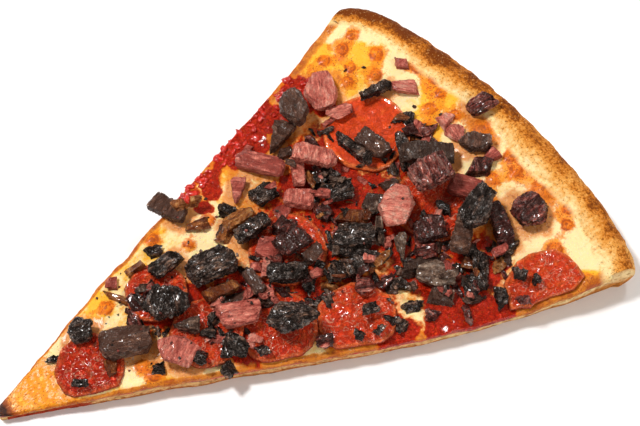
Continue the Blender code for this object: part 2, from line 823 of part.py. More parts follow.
def main():
    clear_scene()
    draw = random.Random(SEED)
    pile = HeightMap()
    crust = crust_solid()
    cheese = cheese_solid()
    build("crust", crust, CRUST, 0.75)
    build("sauce", sauce_solid(), TOMATO, 0.35)
    cheese_object = build("cheese", cheese, MOZZARELLA, 0.4)
    pile.add(crust)
    pile.add(cheese)
    bare = HeightMap()
    bare.add(cheese)

    for number, (x, y, radius) in enumerate(PEPPERONI, 1):
        solid = pepperoni_solid(x, y, radius, draw, pile)
        pile.add(solid)
        made = build(f"pepperoni_{number}", solid, COLOURS["pepperoni"], 0.3)
        own = [bit for bit in PEPPERONI_BITS if bit[0] == number]
        if own:
            bits = [bit_solid(bit[1:3], bit[3:6], bit[6], draw, pile) for bit in own]
            fuse(made, bits)
            for bit in bits:
                pile.add(bit)

    counts = {}
    for chunk in CHUNKS + (OVERHANGING,):
        kind, x, y, length, width, height, turn, corners = chunk
        counts[kind] = counts.get(kind, 0) + 1
        sliding = chunk is not OVERHANGING
        solid = chunk_solid((x, y), (length, width, height), turn, corners, draw, pile, sliding)
        pile.add(solid)
        build(f"{kind}_{counts[kind]}", solid, COLOURS[kind], 0.6)

    bits = []
    for x, y, length, width, height, turn in CHEESE_BITS:
        bit = bit_solid((x, y), (length, width, height), turn, draw, bare)
        if pile.flat_around(bit, bare, BIT_CLEARANCE):
            bits.append(bit)
    bits.extend(flake_places(draw, bare, pile))
    fuse(cheese_object, bits)


main()
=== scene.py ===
"""Looks of a large slice of thin pizza with pepperoni and chopped meat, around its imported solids.

Lengths are in millimetres until a mesh is made. Places on the slice are measured from its tip:
X runs to the middle of the rim, Y to the left cut edge and Z up.
"""

import math
import random
from collections import namedtuple

import bmesh
import bpy
import numpy as np
from bpy.props import FloatProperty, FloatVectorProperty, IntProperty, PointerProperty
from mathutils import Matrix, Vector, noise
from mathutils.bvhtree import BVHTree


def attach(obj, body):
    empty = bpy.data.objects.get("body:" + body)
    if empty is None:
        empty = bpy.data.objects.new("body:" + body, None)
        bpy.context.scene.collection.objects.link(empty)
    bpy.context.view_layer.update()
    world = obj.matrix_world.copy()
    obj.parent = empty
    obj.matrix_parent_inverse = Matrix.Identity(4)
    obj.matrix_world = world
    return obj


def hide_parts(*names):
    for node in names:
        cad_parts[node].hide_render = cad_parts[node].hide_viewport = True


bl_info = {
    "name": "Pizza Slice",
    "version": (1, 0, 0),
    "blender": (4, 5, 0),
    "location": "View3D > Sidebar > Pizza",
    "description": "Dresses the solids of a pizza slice with cheese, crust and toppings",
    "category": "Add Mesh",
}

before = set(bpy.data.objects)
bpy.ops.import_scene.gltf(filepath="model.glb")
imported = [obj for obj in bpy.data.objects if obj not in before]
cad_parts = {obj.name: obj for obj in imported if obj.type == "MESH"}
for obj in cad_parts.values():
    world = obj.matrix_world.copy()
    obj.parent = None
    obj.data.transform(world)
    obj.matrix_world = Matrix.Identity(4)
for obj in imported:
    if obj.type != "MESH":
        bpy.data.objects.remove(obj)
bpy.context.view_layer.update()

MM = 0.001
GAP = 0.3
TIP = np.array((-104.9, 1.9, 0.0))

DOWN = Vector((0.0, 0.0, -1.0))
# Heights over and under everything on the slice
ABOVE = 80.0
BELOW = -5.0

# Place on the floor in the middle of the camera's view, from the tip
LOOKED_AT = (129.28, 7.24, 0.0)

SKY_COLOUR = (1.0, 0.91, 0.84, 1.0)
SKY_STRENGTH = 0.3
# Lamps: place and width in metres, and power in watts
LAMPS = {
    "key": ((-0.24, 0.36, 0.82), 0.16, 7.6),
    "fill": ((0.15, -0.75, 0.45), 0.4, 2.6),
    "side": ((0.7, 0.3, 0.6), 0.2, 2.0),
}
FLOOR_HALF = 3.0

# Starts of the random draws
SCRAP_SEED = 77
SHARD_SEED = 31
CRUMB_SEED = 5
DROP_SEED = 9
CHIP_SEED = 900
TONE_SEED = 500

# Plan and heights of the slice, as in its solids
LEFT_LENGTH = 187.5
RIGHT_LENGTH = 208.5
LEFT_SLOPE = 0.378
RIGHT_SLOPE = 0.41
RIGHT_BEND = 0.0013
RIGHT_BEND_START = 110.0
TIP_HALF_WIDTH = 2.0
TIP_BULGE = 2.4
TIP_FADE = 5.0
RIM_BULGE = 12.0
RIM_TURN = math.radians(7.0)
LEFT_CORNER = 0.03
RIGHT_CORNER = 0.012
CORNER_POWER = 14
EDGE_WAVE = 0.7
DOUGH_TIP = 2.2
DOUGH = 4.7
SAUCE_TIP = 0.5
SAUCE = 0.9
CHEESE_TIP = 1.3
CHEESE = 2.3
TIP_RAMP = 50.0
EDGE_DROP = 0.7
CHEESE_LEAST = 0.7
CHEESE_END = 0.927
CHEESE_END_WAVE = 0.006
RIM_HEIGHT = 14.0
RIM_HEIGHT_WAVE = 1.3
RIM_RISE = 4.2
RIM_RISE_START = 0.77
RIM_WAIST = 6.0
RIM_UNDERCUT = 5.0
RIM_CREST = 0.5
RIM_ROUGHNESS = 0.55
LIP_OUT = 0.055
LIP_DROP = 0.5
UNDERSIDE_INSET = 0.985
# Level direction out of the left cut side
LEFTWARDS = np.array((-0.36, 0.93, 0.0))

# Baked blisters of the cheese: place along and across the slice, radius and height
BLISTERS = (
    (176, 58, 2.8, 0.6), (170, 55, 2.8, 0.7), (162, 55, 2.8, 0.6), (179, 46, 3.2, 0.8),
    (168, 47, 2.6, 0.6), (174, 39, 3.0, 0.7), (164, 43, 2.6, 0.6), (155, 51, 3.0, 0.5),
    (188, 33, 3.6, 0.8), (190, 25, 2.8, 0.7), (189, 19, 2.6, 0.6), (182, 16, 3.0, 0.7),
    (175, 11, 2.8, 0.6), (188, 9, 2.8, 0.7), (193, -1, 4.4, 1.0), (195, -16, 3.4, 0.8),
    (193, -22, 3.2, 0.7), (184, -20, 3.0, 0.6), (179, -25, 3.0, 0.6), (196, -33, 5.0, 1.0),
    (199, -44, 2.8, 0.7), (195, -49, 3.0, 0.7), (186, -54, 3.4, 0.8), (188, -70, 3.4, 0.8),
    (46, -13, 3.0, 0.6), (48, -18, 3.0, 0.5), (82, 18, 2.6, 0.5), (46, 12, 3.2, 0.5),
    (92, 22, 3.4, 0.6), (104, -42, 3.2, 0.6), (128, 40, 3.6, 0.6), (116, 33, 3.0, 0.5),
    (140, -57, 3.4, 0.6), (72, 26, 3.2, 0.5),
)

# Where sauce shows on the cheese: place and radius
SAUCE_SPOTS = (
    (147, 48, 7.5), (132, 46, 6.8), (121, 41, 6.8), (114, 39, 5.3), (100, 32, 4.2), (93, 28, 3.0),
    (61, 9, 6.0), (161, -45, 6.8), (168, -47, 3.8), (147, -50, 11.3), (153, -62, 10.0),
    (127, 16, 6.8), (139, 6, 8.3), (110, -9, 5.3), (81, -27, 7.5), (73, -2, 6.0), (152, 42, 5.3),
    (146, 16, 6.0), (159, -14, 6.0), (124, -48, 7.5), (137, -55, 5.3), (86, -4, 5.3),
)
# Where the heap of toppings lies in sauce and oil
HEAP_SPOTS = (
    (120, 2, 20.0), (140, -6, 22.0), (150, -30, 18.0), (103, -15, 16.0), (160, -42, 13.0),
    (88, -10, 13.0), (118, -32, 15.0), (76, -20, 9.0), (166, 8, 12.0), (140, 22, 14.0), (60, 2, 9.0),
)
YELLOW_SPOTS = (
    (76, 23, 6.8), (14, -1, 7.5), (8, -1, 4.5), (161, 57, 7.5), (174, 49, 7.5), (189, 19, 7.5),
    (178, 10, 6.0), (188, -72, 5.3), (45, 14, 5.3), (107, 36, 4.5), (175, -72, 6.0),
    (167, 45, 7.5), (178, 16, 7.5), (168, -72, 3.8),
)
CREAM_SPOTS = (
    (207, -25, 13.0), (202, -53, 11.3), (197, 24, 7.5), (176, 26, 6.8), (173, 65, 7.5),
    (41, -13, 5.3), (80, 20, 8.3), (109, 12, 5.3), (105, -46, 4.5), (84, -23, 3.0),
    (92, 20, 6.8), (181, -47, 6.0), (196, -61, 6.0), (184, 61, 9.4),
)
# Length of the cheese, and half the width of its end
CHEESE_LENGTH = 195.0
RIM_HALF_WIDTH = 82.0
# Points of a row of the cheese, up to a share of its length
ROW_COUNTS = ((0.12, 33), (0.25, 65), (0.5, 129), (math.inf, 257))
# Rows of points that the cheese has on the rim, and down its cut sides
LAP_ROWS = 12
SKIRT_ROWS = 9
# Rows of points of the rim: its inner slope, its outer side and its undercut
INNER_ROWS = 14
OUTER_ROWS = 18
UNDER_ROWS = 10
# Rows of points of a cut side, with its upper and its lower line
CRUMB_ROWS = 15
# Points of the dough along and across the slice, and of the rim across it
DOUGH_LENGTHWISE = 300
DOUGH_CROSSWISE = 9
RIM_CROSSWISE = 281

# Darkest places of the rim
BAKE_SPOTS = (
    (182, 71, 6.0), (186, 62, 4.0), (193, 48, 4.5), (197, 33, 5.0), (203, 16, 4.5),
    (206, 1, 4.0), (211, -26, 4.0), (209, -50, 4.5), (208, -60, 4.0), (204, -70, 4.0),
)

# How browned the rim is, from the cheese (0) over its crest (0.42) down to its waist (1)
BROWNING_AT = (0.0, 0.12, 0.3, 0.45, 0.62, 0.85, 1.0)
BROWNING = (0.0, 0.1, 0.4, 0.74, 0.86, 0.62, 0.48)

# Slices of pepperoni: centre along and across the slice, radius, wrinkling and redness
PEPPERONI = (
    (158, 21, 15.5, 0.25, 0.2),
    (175, -63, 13.5, 0.9, 0.5),
    (115, -38, 14.0, 1.0, 0.6),
    (31, -4, 12.0, 0.8, 1.0),
    (109, -3, 14.0, 0.9, 0.7),
    (91, -26, 13.5, 0.9, 0.8),
    (70, -15, 12.5, 0.8, 0.8),
    (63, 7, 11.0, 0.7, 0.7),
    (162, -16, 14.5, 0.8, 0.7),
)
# How far past its radius a slice's outline is looked for, and in which steps
PEPPERONI_MARGIN = 1.6
OUTLINE_STEP = 0.2
PEPPERONI_SIDES = 132
PEPPERONI_RINGS = 34
# Every how many rings the underside has one, and the mark of a slice's edge and underside
LOWER_EVERY = 6
EDGE_MARK = 1.06

# Chopped toppings: how many chunks, their darkest colour, height of their crags and of their fibres,
# share of fat, roughness, width of the grain, contrast, how dark the painted shade in the creases is, how wet
# the surface is and how much its thin pale lines of painted highlight show
Kind = namedtuple("Kind", "count dark crags fibres marbling roughness grain contrast creases gloss strands")
KINDS = {
    "ham": Kind(11, "ham_dark", 0.16, 0.14, 0.15, 0.36, 0.8, 0.9, 0.4, 0.25, 0.12),
    "bacon": Kind(6, "bacon_dark", 0.44, 0.3, 0.7, 0.24, 1.3, 1.4, 0.8, 0.9, 0.3),
    "brisket": Kind(16, "brisket_dark", 0.48, 0.32, 0.0, 0.22, 1.4, 1.6, 0.9, 0.9, 0.6),
    "beef": Kind(8, "brisket", 0.34, 0.28, 0.0, 0.3, 1.2, 1.4, 0.8, 0.6, 0.4),
    "mushroom": Kind(5, "mushroom_dark", 0.28, 0.2, 0.0, 0.36, 1.4, 1.3, 0.7, 0.5, 0.3),
    "onion": Kind(2, "onion_dark", 0.2, 0.12, 0.0, 0.2, 1.6, 1.1, 0.4, 0.8, 0.2),
}
CHUNKS = [(kind, f"{kind}_{number}") for kind in KINDS for number in range(1, KINDS[kind].count + 1)]
# Width of the cubes that a chunk's skin is remade from
CHUNK_VOXEL = 0.4

# Shares of the small shards by kind. They lie where the pile is lower than GAP_LEVEL, and off the first
# slices of pepperoni, which show.
SHARD_SHARES = {"brisket": 0.3, "bacon": 0.24, "ham": 0.2, "beef": 0.11, "mushroom": 0.06, "onion": 0.09}
GAP_LEVEL = 12.8
OPEN_SLICES = 4
OPEN_RADIUS = 11.0

# Peppercorns: place along and across the slice
PEPPERCORNS = (
    (166, 47), (114, 11), (82, 18), (84, 13), (71, 21), (178, 20), (172, 44), (166, 18), (103, -38),
    (184, 12), (111, -11), (51, 11), (140, 40), (96, 30), (128, -38),
)

# Chunks that are lighter (up to 1) or darker (down to -1) than others of their kind
TONES = {
    "ham_10": -0.8, "ham_11": 0.9, "ham_6": 0.4, "mushroom_2": -1.3, "mushroom_3": -0.4, "mushroom_4": 0.8,
    "mushroom_5": 0.9, "beef_6": 1.0, "beef_1": 0.2, "beef_4": 0.1, "bacon_5": 1.0, "bacon_4": 0.1,
    "brisket_4": -0.2, "brisket_1": 0.3,
}

# The one chunk that is mostly fat
FATTY_CHUNK = "bacon_5"

# Small loose scraps: kind, place, length, width, height and turn in degrees
SCRAPS = (
    ("brisket", 63, -22, 6.5, 4.5, 4, -66), ("beef", 86, -10, 12, 3.4, 4, -27),
    ("brisket", 80, -9, 7.6, 3.8, 4, 85), ("ham", 94, -14, 5.6, 4.5, 3, -17),
    ("brisket", 74, -13, 6.4, 3.5, 4, 20), ("brisket", 93.5, -32, 6.5, 4.3, 4, -10),
    ("brisket", 69, -30, 6, 5, 4, 0), ("brisket", 106, -15, 8.4, 4.5, 4, 31),
    ("brisket", 110, -17.5, 8.8, 4.2, 4, 32), ("beef", 114, -10, 8.2, 6.2, 5, 12),
    ("bacon", 112, 4, 9.2, 6.6, 4, -43), ("ham", 115, 10, 6.7, 5.9, 3, -26),
    ("brisket", 100, 21, 7.8, 5.8, 5, -51), ("onion", 88, 30, 11, 4, 3, -18),
    ("onion", 94, 14, 9, 4.6, 3, 37), ("ham", 155, 33, 10.5, 5.4, 3, -6),
    ("bacon", 139, 28, 6.5, 6.6, 4, 0), ("brisket", 135, 15, 12, 5.6, 4, -21),
    ("brisket", 150, 18, 15, 4.8, 4, -69), ("beef", 153.5, -1, 6.4, 6, 4, 0),
    ("onion", 135, -5, 14, 4.7, 4, -33), ("bacon", 128, 2, 7.3, 6.8, 4, 8),
    ("mushroom", 140, -15, 12.5, 3.5, 4, 63), ("brisket", 128, -18, 20, 5.7, 5, -55),
    ("bacon", 123.5, -29, 8.5, 6, 4, -17), ("brisket", 133.5, -35, 8.2, 4.1, 4, -28),
    ("mushroom", 144, -33, 14, 5.3, 4, -23), ("beef", 144, -46, 10.3, 5.9, 4, -27),
    ("bacon", 149, -29, 9.8, 6.1, 4, -24), ("brisket", 162.5, -41, 12.8, 5.3, 4, -72),
    ("brisket", 172, -44, 10.2, 5.3, 4, -24), ("brisket", 161, -57, 9.2, 4.5, 4, 71),
    ("brisket", 126, -48.5, 6.8, 3.4, 3, 26), ("onion", 159, -41, 6.6, 5, 3, -29),
    ("onion", 37, -9, 6, 4, 2.5, 70), ("brisket", 22, 6, 5, 3, 2, -30),
    ("onion", 51, 13, 10, 3, 2.5, -52), ("ham", 52, 18, 4, 4, 2.5, -33),
    ("onion", 61, 18, 8, 3, 2.5, -3), ("brisket", 70, 21, 6, 4, 3, -22),
    ("onion", 88, 22, 10, 4, 2.5, -18), ("beef", 94, 15, 8, 4, 3, 37),
    ("ham", 117, 38, 9, 3, 2.5, 29), ("ham", 184, 9, 6, 5, 2.5, -74),
    ("ham", 184, 37, 6, 5, 3, -33), ("ham", 180, 28, 9, 6, 3, -25),
    ("bacon", 183, -14, 9, 6, 4, -31), ("ham", 184, 3, 8, 6, 3, 52),
    ("brisket", 50, -17, 5, 4, 3, -22), ("bacon", 137, -50, 6, 4, 3, 26),
    ("brisket", 133, -44, 8, 4, 3, -28), ("bacon", 148, -56, 8, 3, 3, 70),
    ("bacon", 102, -40, 6, 4, 3, -10), ("brisket", 82, -31, 5, 4, 3, -18),
    ("brisket", 169, -56, 6, 4, 3, -48), ("brisket", 173, -60, 5, 3, 3, 53),
    ("bacon", 166, -64, 5, 3, 2.5, -33), ("brisket", 120, -38, 7, 4, 3, -6),
    ("brisket", 112, -44, 5, 3, 2.5, -57), ("brisket", 119, -46, 5, 3, 2.5, 20),
    ("brisket", 25, -8, 7, 3, 2.5, -38), ("ham", 189, -12, 6, 5, 3, 10),
)


def ease(value):
    """Goes smoothly from 0 to 1 as the value does."""
    value = np.clip(value, 0.0, 1.0)
    return value * value * (3.0 - 2.0 * value)


def wave(x, y, size, layer):
    """Smooth bumps of about the given size, between -1 and 1."""
    x, y = np.broadcast_arrays(np.asarray(x, float) / size, np.asarray(y, float) / size)
    found = [noise.noise((one, other, layer)) for one, other in zip(x.ravel(), y.ravel())]
    return np.array(found).reshape(x.shape)


def bumps(points, sizes, layer):
    """Smooth bumps at points in space, with a size for each axis or one for all."""
    places = np.asarray(points, float) / sizes + layer
    return np.array([noise.noise(place) for place in places.reshape(-1, 3)]).reshape(places.shape[:-1])


def edge_point(along, side):
    """A point of the left (+1) or right (-1) cut edge, from 0 at the tip to 1 at the rim."""
    if side > 0:
        x = along * LEFT_LENGTH
        y = TIP_HALF_WIDTH + LEFT_SLOPE * x
    else:
        x = along * RIGHT_LENGTH
        y = -TIP_HALF_WIDTH - RIGHT_SLOPE * x + RIGHT_BEND * np.maximum(0.0, x - RIGHT_BEND_START) ** 2
    return x, y + EDGE_WAVE * ease(x / TIP_RAMP) * wave(x, side, 11.0, 4.2)


def slice_point(along, across):
    """A point of the plan: along is 0 at the tip and 1 at the rim, across -1 right and 1 left."""
    along, across = np.broadcast_arrays(np.asarray(along, float), np.asarray(across, float))
    corner = np.where(across > 0.0, LEFT_CORNER, RIGHT_CORNER) * np.abs(across) ** CORNER_POWER
    along = along - corner * ease((along - 0.85) / 0.15)
    left_x, left_y = edge_point(along, 1)
    right_x, right_y = edge_point(along, -1)
    share = (1.0 + across) / 2.0
    tip = TIP_BULGE * np.exp(-along * LEFT_LENGTH / TIP_FADE)
    bulge = (RIM_BULGE * along * along - tip) * (1.0 - across * across)
    x = right_x + (left_x - right_x) * share + bulge * math.cos(RIM_TURN)
    y = right_y + (left_y - right_y) * share + bulge * math.sin(RIM_TURN)
    return x, y


def cheese_end(across):
    """How far along the slice the cheese reaches."""
    return CHEESE_END + CHEESE_END_WAVE * np.sin(across * 9.0 + 1.0)


def dough_top(along, x, y):
    """Height of the dough, which rises towards the rim under the sauce and the cheese."""
    ramp = ease(x / TIP_RAMP)
    level = DOUGH_TIP + (DOUGH - DOUGH_TIP) * ramp + 0.3 * ramp * wave(x, y, 30.0, 0.5)
    return level + RIM_RISE * ease((along - RIM_RISE_START) / (CHEESE_END - RIM_RISE_START))


def sauce_top(along, x, y):
    thickness = SAUCE_TIP + (SAUCE - SAUCE_TIP) * ease(x / TIP_RAMP)
    return dough_top(along, x, y) + GAP + thickness


def cheese_relief(x, y):
    """Height of the lumps and blisters over the even cheese."""
    height = 0.55 * wave(x, y, 9.0, 1.3) + 0.3 * wave(x, y, 4.0, 7.7)
    for blister_x, blister_y, radius, rise in BLISTERS:
        distance = np.hypot(x - blister_x, y - blister_y)
        height = height + rise * np.exp(-2.0 * (distance / radius) ** 2)
    return height * ease(x / 25.0)


def cheese_top(along, across, x, y):
    thickness = CHEESE_TIP + (CHEESE - CHEESE_TIP) * ease(x / TIP_RAMP)
    thickness = thickness + cheese_relief(x, y)
    thickness = thickness - EDGE_DROP * ease((np.abs(across) - 0.9) / 0.1)
    return sauce_top(along, x, y) + GAP + np.maximum(thickness, CHEESE_LEAST)


def rim_top(x, y):
    return RIM_HEIGHT + RIM_HEIGHT_WAVE * wave(x, y, 38.0, 2.2) + RIM_ROUGHNESS * wave(x, y, 6.0, 3.1)


def lip_height(x, y):
    return sauce_top(1.0, x, y) + GAP + CHEESE - LIP_DROP


def rim_place(out, across):
    """A place on the rim: out is 0 at the cheese's end and 1 at the outermost line."""
    end = cheese_end(across)
    return slice_point(end + (1.0 - end) * out, across)


def inner_rim_level(out, x, y):
    """Height of the rim between the cheese and the crest."""
    rise = np.sin(np.clip((out - LIP_OUT) / (RIM_CREST - LIP_OUT), 0.0, 1.0) * math.pi / 2.0)
    return lip_height(x, y) * (1.0 - rise) + rim_top(x, y) * rise


def in_spots(x, y, spots, softness=0.7):
    """1 inside the round spots and 0 outside, with uneven edges."""
    warp_x = x + 2.6 * wave(x, y, 7.0, 11.1) + 1.0 * wave(x, y, 2.5, 12.1)
    warp_y = y + 2.6 * wave(x, y, 7.0, 13.1) + 1.0 * wave(x, y, 2.5, 14.1)
    best = np.zeros(np.shape(x))
    for spot_x, spot_y, radius in spots:
        distance = np.hypot(warp_x - spot_x, warp_y - spot_y) / radius
        best = np.maximum(best, ease((1.0 + softness / 2.0 - distance) / softness))
    return best


def on_blisters(x, y):
    """How near each place is to the middle of a blister, and how toasted it is round them."""
    warp_x = x + 0.7 * wave(x, y, 3.4, 21.0)
    warp_y = y + 0.7 * wave(x, y, 3.4, 22.0)
    wide_x = warp_x + 3.2 * wave(x, y, 7.0, 23.0)
    wide_y = warp_y + 3.2 * wave(x, y, 7.0, 24.0)
    blister = np.zeros(np.shape(x))
    toast = np.zeros(np.shape(x))
    for blister_x, blister_y, radius, _ in BLISTERS:
        distance = np.hypot(warp_x - blister_x, warp_y - blister_y) / radius
        blister = np.maximum(blister, np.clip(1.15 - distance, 0.0, 1.15))
        around = np.hypot(wide_x - blister_x, wide_y - blister_y) / radius
        toast = toast + 0.95 * np.exp(-((around / 1.45) ** 2))
    return blister, np.clip(toast, 0.0, 1.0)


class Shell:
    """Points in millimetres, faces and painted marks of one closed skin."""

    def __init__(self):
        self.points = []
        self.marks = []
        self.faces = []
        self.size = 0

    def add(self, points, **marks):
        """Adds a row or a grid of points, and returns their numbers in the same layout."""
        points = np.asarray(points, float)
        count = points.size // 3
        numbers = np.arange(self.size, self.size + count).reshape(points.shape[:-1])
        self.size += count
        self.points.append(points.reshape(-1, 3))
        self.marks.append((numbers.shape, marks))
        return numbers

    def mark(self, name):
        """One mark of all the points, 0 where it wasn't given."""
        parts = [np.broadcast_to(marks.get(name, 0.0), shape).ravel() for shape, marks in self.marks]
        return np.concatenate(parts)

    def all_points(self):
        return np.concatenate(self.points)

    def dress(self, name, material, slot, nodes=()):
        """Makes the skin a piece, with all its marks."""
        names = {label for _, marks in self.marks for label in marks}
        marks = {label: self.mark(label) for label in sorted(names)}
        dress(name, self.all_points(), self.faces, material, nodes, marks)

    def grid(self, numbers, closed=False):
        """Fills a grid of points with faces. A closed grid also joins its last column to its first."""
        numbers = np.asarray(numbers)
        if closed:
            numbers = np.concatenate([numbers, numbers[:, :1]], axis=1)
        corners = [numbers[:-1, :-1], numbers[1:, :-1], numbers[1:, 1:], numbers[:-1, 1:]]
        self.faces.extend(np.stack(corners, -1).reshape(-1, 4).tolist())

    def spacing(self, path, every):
        steps = np.linalg.norm(np.diff(every[path], axis=0), axis=1)
        total = np.concatenate([[0.0], np.cumsum(steps)])
        return total / total[-1]

    def stitch(self, first, second, by_length=False):
        """Joins two rows of points that run the same way by a strip of triangles."""
        first = list(first)
        second = list(second)
        if by_length:
            every = self.all_points()
            along_first = self.spacing(first, every)
            along_second = self.spacing(second, every)
        else:
            along_first = np.linspace(0.0, 1.0, len(first))
            along_second = np.linspace(0.0, 1.0, len(second))
        i = 0
        j = 0
        while i < len(first) - 1 or j < len(second) - 1:
            second_done = j == len(second) - 1
            first_done = i == len(first) - 1
            if second_done or (not first_done and along_first[i + 1] <= along_second[j + 1] + 1e-9):
                self.face(first[i], first[i + 1], second[j])
                i += 1
            else:
                self.face(first[i], second[j + 1], second[j])
                j += 1

    def face(self, *corners):
        if len(set(corners)) == len(corners):
            self.faces.append([int(corner) for corner in corners])

    def fan(self, centre, ring):
        for one, other in zip(ring, np.roll(ring, -1)):
            self.face(int(centre), one, other)


def normals_of(points):
    """Unit normals of a grid of points, pointing up where the grid lies flat."""
    found = np.cross(np.gradient(points, axis=1), np.gradient(points, axis=0))
    return found / np.maximum(np.linalg.norm(found, axis=-1, keepdims=True), 1e-9)


built = []


def dress(name, points, faces, material, nodes=(), marks=None):
    """Makes a piece from points in millimetres, and gives it its finish and its place."""
    mesh = bpy.data.meshes.new(name)
    mesh.from_pydata(((points + TIP) * MM).tolist(), [], faces)
    work = bmesh.new()
    work.from_mesh(mesh)
    bmesh.ops.recalc_face_normals(work, faces=work.faces)
    work.to_mesh(mesh)
    work.free()
    mesh.shade_smooth()
    for label, values in (marks or {}).items():
        values = np.asarray(values, np.float32)
        kind, key = ("FLOAT_VECTOR", "vector") if values.ndim == 2 else ("FLOAT", "value")
        mesh.attributes.new(label, kind, "POINT").data.foreach_set(key, values.ravel())
    mesh.materials.append(material)
    piece = placed(name, mesh)
    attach(piece, "root")
    if nodes:
        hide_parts(*nodes)
    built.append((points, faces))


def placed(name, data):
    """Adds an object to the scene."""
    made = bpy.data.objects.new(name, data)
    bpy.context.scene.collection.objects.link(made)
    return made


def coordinates(mesh, attribute="co"):
    """The places, or the normals, of a mesh's points."""
    found = np.empty(len(mesh.vertices) * 3)
    mesh.vertices.foreach_get(attribute, found)
    return found.reshape(-1, 3)


def skin_of(mesh):
    """Points in millimetres from the tip, and faces, of a mesh."""
    return coordinates(mesh) / MM - TIP, [list(face.vertices) for face in mesh.polygons]


def solid_of(node):
    """Points and faces of one of the frame's solids."""
    return skin_of(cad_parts[node].data)


def ground():
    """All that has been built so far, ready to be asked where it lies."""
    points = np.concatenate([points for points, _ in built])
    faces = []
    first = 0
    for own_points, own_faces in built:
        faces.extend([[corner + first for corner in face] for face in own_faces])
        first += len(own_points)
    return BVHTree.FromPolygons(points.tolist(), faces)


def landing(pile, x, y):
    """Where something dropped at a place lands, if it does, and which way the pile faces there."""
    return pile.ray_cast(Vector((x, y, ABOVE)), DOWN)[:2]


class Value:
    """A socket of a material's nodes that can be used in sums."""

    def __init__(self, paint, socket):
        self.paint = paint
        self.socket = socket

    def maths(self, operation, first, second=0.0, clamp=False):
        return self.paint.node("Math", {"operation": operation, "use_clamp": clamp}, {0: first, 1: second})

    def __add__(self, other):
        return self.maths("ADD", self, other)

    def __radd__(self, other):
        return self.maths("ADD", other, self)

    def __sub__(self, other):
        return self.maths("SUBTRACT", self, other)

    def __rsub__(self, other):
        return self.maths("SUBTRACT", other, self)

    def __mul__(self, other):
        return self.maths("MULTIPLY", self, other)

    def __rmul__(self, other):
        return self.maths("MULTIPLY", other, self)

    def __abs__(self):
        return self.maths("ABSOLUTE", self)

    def clamp(self):
        return self.maths("ADD", self, 0.0, clamp=True)

    def step(self, low, high):
        """0 below low, 1 above high and smooth between."""
        settings = {"interpolation_type": "SMOOTHSTEP"}
        return self.paint.node("MapRange", settings, {0: self, 1: low, 2: high, 3: 0.0, 4: 1.0})


class Paint:
    """A material and the nodes that it is mixed from."""

    def __init__(self, name, **constants):
        self.material = bpy.data.materials.new(name)
        self.material.use_nodes = True
        self.tree = self.material.node_tree
        self.shader = self.tree.nodes["Principled BSDF"]
        for key, value in constants.items():
            self.shader.inputs[key.replace("_", " ")].default_value = value

    def node(self, kind, settings=None, sockets=None, out=0):
        """Adds a node: its kind, its settings, and the values or links of its sockets."""
        made = self.tree.nodes.new("ShaderNode" + kind)
        for key, value in (settings or {}).items():
            if key == "stops":
                self.set_stops(made.color_ramp, value)
            else:
                setattr(made, key, value)
        for key, value in (sockets or {}).items():
            self.put(made.inputs[key], value)
        return Value(self, made.outputs[out])

    def set_stops(self, ramp, stops):
        while len(ramp.elements) < len(stops):
            ramp.elements.new(1.0)
        for element, (place, colour) in zip(ramp.elements, stops):
            element.position = place
            element.color = (*colour[:3], 1.0)

    def put(self, socket, value):
        if isinstance(value, Value):
            self.tree.links.new(value.socket, socket)
        elif socket.type == "RGBA":
            socket.default_value = (*tuple(value)[:3], 1.0)
        else:
            socket.default_value = value

    def feed(self, **links):
        for key, value in links.items():
            self.put(self.shader.inputs[key.replace("_", " ")], value)

    def place(self):
        """Place in the frame, in millimetres."""
        where = self.node("TexCoord", out="Object")
        return self.node("VectorMath", {"operation": "SCALE"}, {0: where, 3: 1.0 / MM})

    def mark(self, name):
        return self.node("Attribute", {"attribute_name": name}, out="Fac")

    def marks(self, *names):
        return [self.mark(name) for name in names]

    def stretched(self, vector, scales):
        return self.node("VectorMath", {"operation": "MULTIPLY"}, {0: vector, 1: scales})

    def noise(self, vector, size, detail=4.0, roughness=0.55, distortion=0.0):
        """Cloudy noise between 0 and 1, with lumps of about the given size."""
        sockets = {0: vector, 2: 1.0 / size, 3: detail, 4: roughness, 8: distortion}
        return self.node("TexNoise", None, sockets)

    def cells(self, vector, size):
        """Distance to the nearest of many scattered points."""
        return self.node("TexVoronoi", {"feature": "F1"}, {0: vector, 2: 1.0 / size})

    def mix(self, factor, first, second):
        """A colour between two others."""
        settings = {"data_type": "RGBA", "blend_type": "MIX", "clamp_factor": True}
        return self.node("Mix", settings, {0: factor, 6: first, 7: second}, out=2)

    def coats(self, colour, *coats):
        """A colour with others over it, one after the other, each with how much it covers."""
        for share, over in coats:
            colour = self.mix(share, colour, over)
        return colour

    def bump(self, height, distance, strength=1.0):
        """Bends the light as a relief would whose full height is given in millimetres."""
        return self.node("Bump", None, {"Strength": strength, "Distance": distance * MM, "Height": height})


def rim_colour(paint, place, browning, bake, looks):
    """From cream by gold and brown to nearly burnt, with a fine dark grain."""
    mottle = paint.noise(place, 9.0, 6.0, 0.62)
    fine = paint.noise(place, 1.5, 5.0, 0.65)
    grain = paint.noise(place, 0.7, 3.0, 0.6)
    level = browning + (mottle - 0.5) * 0.75 + (fine - 0.5) * 1.0 + bake * 0.16
    stops = (
        (0.0, looks.cheese_cream),
        (0.2, looks.crust_pale),
        (0.42, looks.crust_gold),
        (0.68, looks.crust_brown),
        (1.0, looks.crust_dark),
    )
    dark = (grain + browning * 0.16 + (fine - 0.5) * 0.5 + bake * 0.06).step(0.6, 0.74)
    return paint.coats(
        paint.node("ValToRGB", {"stops": stops}, {0: level}),
        (dark * 0.7, looks.crust_dark),
        (grain.step(0.42, 0.3) * 0.45, looks.crust_pale),
    )


